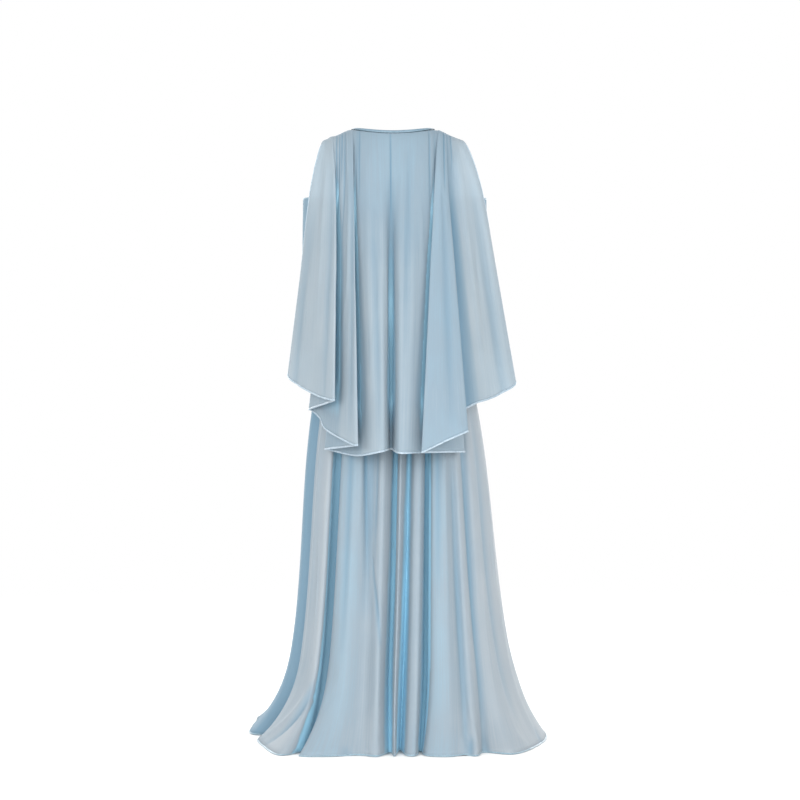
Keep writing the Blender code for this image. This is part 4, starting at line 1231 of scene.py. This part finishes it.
def gather_heights(grid):
    """Small gathers at the waist seam: bell curves across, uneven in spacing and width, that stand out most
    a little below the seam and die away down the skirt at uneven lengths."""
    rng = np.random.default_rng(GATHER_SEED)
    arc, down = arc_across(grid), way_down(grid)
    at = (np.arange(GATHER_COUNT) + rng.uniform(*GATHER_PLACE, GATHER_COUNT)) / GATHER_COUNT
    across = arc / arc[:, -1:]
    heights = np.zeros(down.shape)
    for place in at:
        length, width, rise = (rng.uniform(*size) for size in (GATHER_LENGTH, GATHER_WIDTH, GATHER_RISE))
        spread = width + GATHER_WIDENS * down
        fade = np.exp(-((down / length) ** GATHER_FADE)) * smooth_step(*GATHER_START, down)
        heights += rise * fade * np.exp(-(((across - place) * arc[:, -1:] / spread) ** 2))
    return heights


def skirt_tones(ring, places, shades):
    """The attributes fold and painted shade of both panels, as the cape has them, with painted shade on the
    left side.
    """
    # The fold depth picks the tone, painted light deep in a fold; the layer table adds a darker tone, partly
    # painted shade; the shaded side, the troughs and the deepest folds get painted shade.
    closed_in = np.minimum(fold_depth(ring, SKIRT_CENTRE_Y) * by_fold(SKIRT_FOLD_TONE_GAIN, places), 1.0)
    painted_shade_share = np.maximum(shades * (1 - SHADE_LOST * closed_in), by_fold(SHADED_SIDE, places))
    painted_shade_share += SKIRT_DEEP_FOLD_SHADE * smooth_step(*DEEP_FOLD, closed_in)
    return np.maximum(closed_in, by_fold(SKIRT_LAYERS_AND_SHADE, places)), painted_shade_share


def make_skirt(material, hem_material, thread):
    """Both panels come from one ring of folds, with a narrow trough at each side seam."""
    rows = np.array([row[1:] for row in SKIRT_BACK + SKIRT_FRONT], float)
    counts = span_counts(rows[:, 4:6], closed=True)
    flare_z, hem_z = WAIST_Z - WAIST_SEAM, FLOOR_Z + WALL
    fall = np.linspace(0, 1, SKIRT_LEVELS - 1) ** SKIRT_CLOSER
    heights = np.append(WAIST_Z - SEAM_GAP, flare_z + (hem_z - flare_z) * fall)
    ring = np.stack([skirt_ring(rows, height, counts) for height in heights])
    ring = np.concatenate([ring, ring[:, :1]], axis=1)
    places = np.append(fold_places(np.arange(len(rows)), counts, closed=True), len(rows))
    seams = (0, int(counts[: len(SKIRT_BACK)].sum()), ring.shape[1] - 1)
    bumps, shades = crease_heights(ring, places, SKIRT_CREASES + FLOOR_CREASES)
    bumps += streak_heights(ring, *SKIRT_STREAKS) + gather_heights(ring)
    arc = arc_across(ring)
    for index in seams:
        bumps -= SIDE_SEAM_DEPTH * np.exp(-(((arc - arc[:, index : index + 1]) / SIDE_SEAM_WIDTH) ** 2))
    bumps *= smooth_step(*SIDE_SEAM_CALM, np.minimum(arc, arc[:, -1:] - arc))
    ring = ring + outward(ring) * bumps[..., None]
    ring[..., 2] = np.maximum(ring[..., 2], FLOOR_Z + CLOTH)
    ring[0, :, 2] = np.minimum(ring[0, :, 2], WAIST_Z - SEAM_GAP)
    depth, painted_shade_share = skirt_tones(ring, places, shades)
    for (name, flat), start, end in zip(SKIRT_CUTS, seams[:-1], seams[1:]):
        panel = slice(start, end + 1)
        grid = ring[:, panel].copy()
        grid[:, 0] += unit(grid[:, 1] - grid[:, 0]) * SEAM_GAP / 2
        grid[:, -1] += unit(grid[:, -2] - grid[:, -1]) * SEAM_GAP / 2
        piece = cloth(name + "_skirt_cloth", grid, material, depth[:, panel], painted_shade_share[:, panel])
        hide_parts("skirt_" + name)
        path, past = grid[-1] + (0, 0, SKIRT_HEM_LIFT), unit(grid[-1] - grid[-2])
        sewn = make_hem(name + "_skirt", path, outward(grid)[-1], past, SKIRT_HEM, hem_material, thread)


# Stage

def make_camera():
    """Level and straight on from behind, where the photograph was taken from."""
    lens = bpy.data.cameras.new("camera")
    lens.lens = LENS_MM
    lens.sensor_width = SENSOR_MM
    camera = add_object("camera", lens)
    camera.location = CAMERA_PLACE
    camera.rotation_euler = (math.pi / 2, 0.0, math.pi)
    bpy.context.scene.camera = camera


def make_floor():
    """A round sheet of paper: rings of points round the gown, out to where its edge has faded away."""
    radius = np.linspace(0, FLOOR_RADIUS, FLOOR_RINGS)[1:, None]
    turn = whole_turn(FLOOR_SIDES)
    x, y = radius * np.cos(turn), radius * np.sin(turn)
    points = np.stack([x, y, np.full(x.shape, FLOOR_Z)], axis=2)
    faces = grid_faces(len(points), FLOOR_SIDES, True)[:, ::-1].tolist() + [list(range(FLOOR_SIDES))]
    mesh = new_mesh("floor", points, faces)
    mesh.materials.append(matt_paper())
    floor = add_object("floor", mesh)


def make_lights():
    for name, place, size, power in LIGHTS:
        lamp = bpy.data.lights.new(name, "AREA")
        lamp.size = size
        lamp.energy = power
        light = add_object(name, lamp)
        light.location = place
        aim = np.array(LIGHT_AIM) - np.array(place)
        tilt = math.atan2(math.hypot(aim[0], aim[1]), -aim[2])
        light.rotation_euler = (tilt, 0.0, math.atan2(aim[1], aim[0]) - math.pi / 2)
    world = bpy.data.worlds.new("soft white room")
    world.use_nodes = True
    background = world.node_tree.nodes["Background"]
    background.inputs["Color"].default_value = (1.0, 1.0, 1.0, 1.0)
    background.inputs["Strength"].default_value = 1.0
    bpy.context.scene.world = world
    bpy.context.scene.view_settings.view_transform = "Standard"


def main():
    make_camera()
    make_floor()
    make_lights()
    chiffon = polyester_chiffon("polyester chiffon", CAPE_TONES, clear=0.15, through=0.30)
    skirt_chiffon = polyester_chiffon("polyester chiffon, two layers", SKIRT_TONES, clear=0.05, through=0.22)
    edge, thread = rolled_chiffon("rolled chiffon edge", ROLLED_EDGE), spun_thread()
    make_bodice(polyester_crepe())
    make_neck_binding(rolled_chiffon("chiffon bias binding", BINDING_EDGE), thread)
    skirt_edge = rolled_chiffon("chiffon skirt edge", SKIRT_EDGE)
    make_sleeve("left", 1, chiffon, skirt_edge, thread)
    make_sleeve("right", -1, chiffon, skirt_edge, thread)
    make_cape(chiffon, edge, thread)
    make_skirt(skirt_chiffon, skirt_edge, thread)


main()
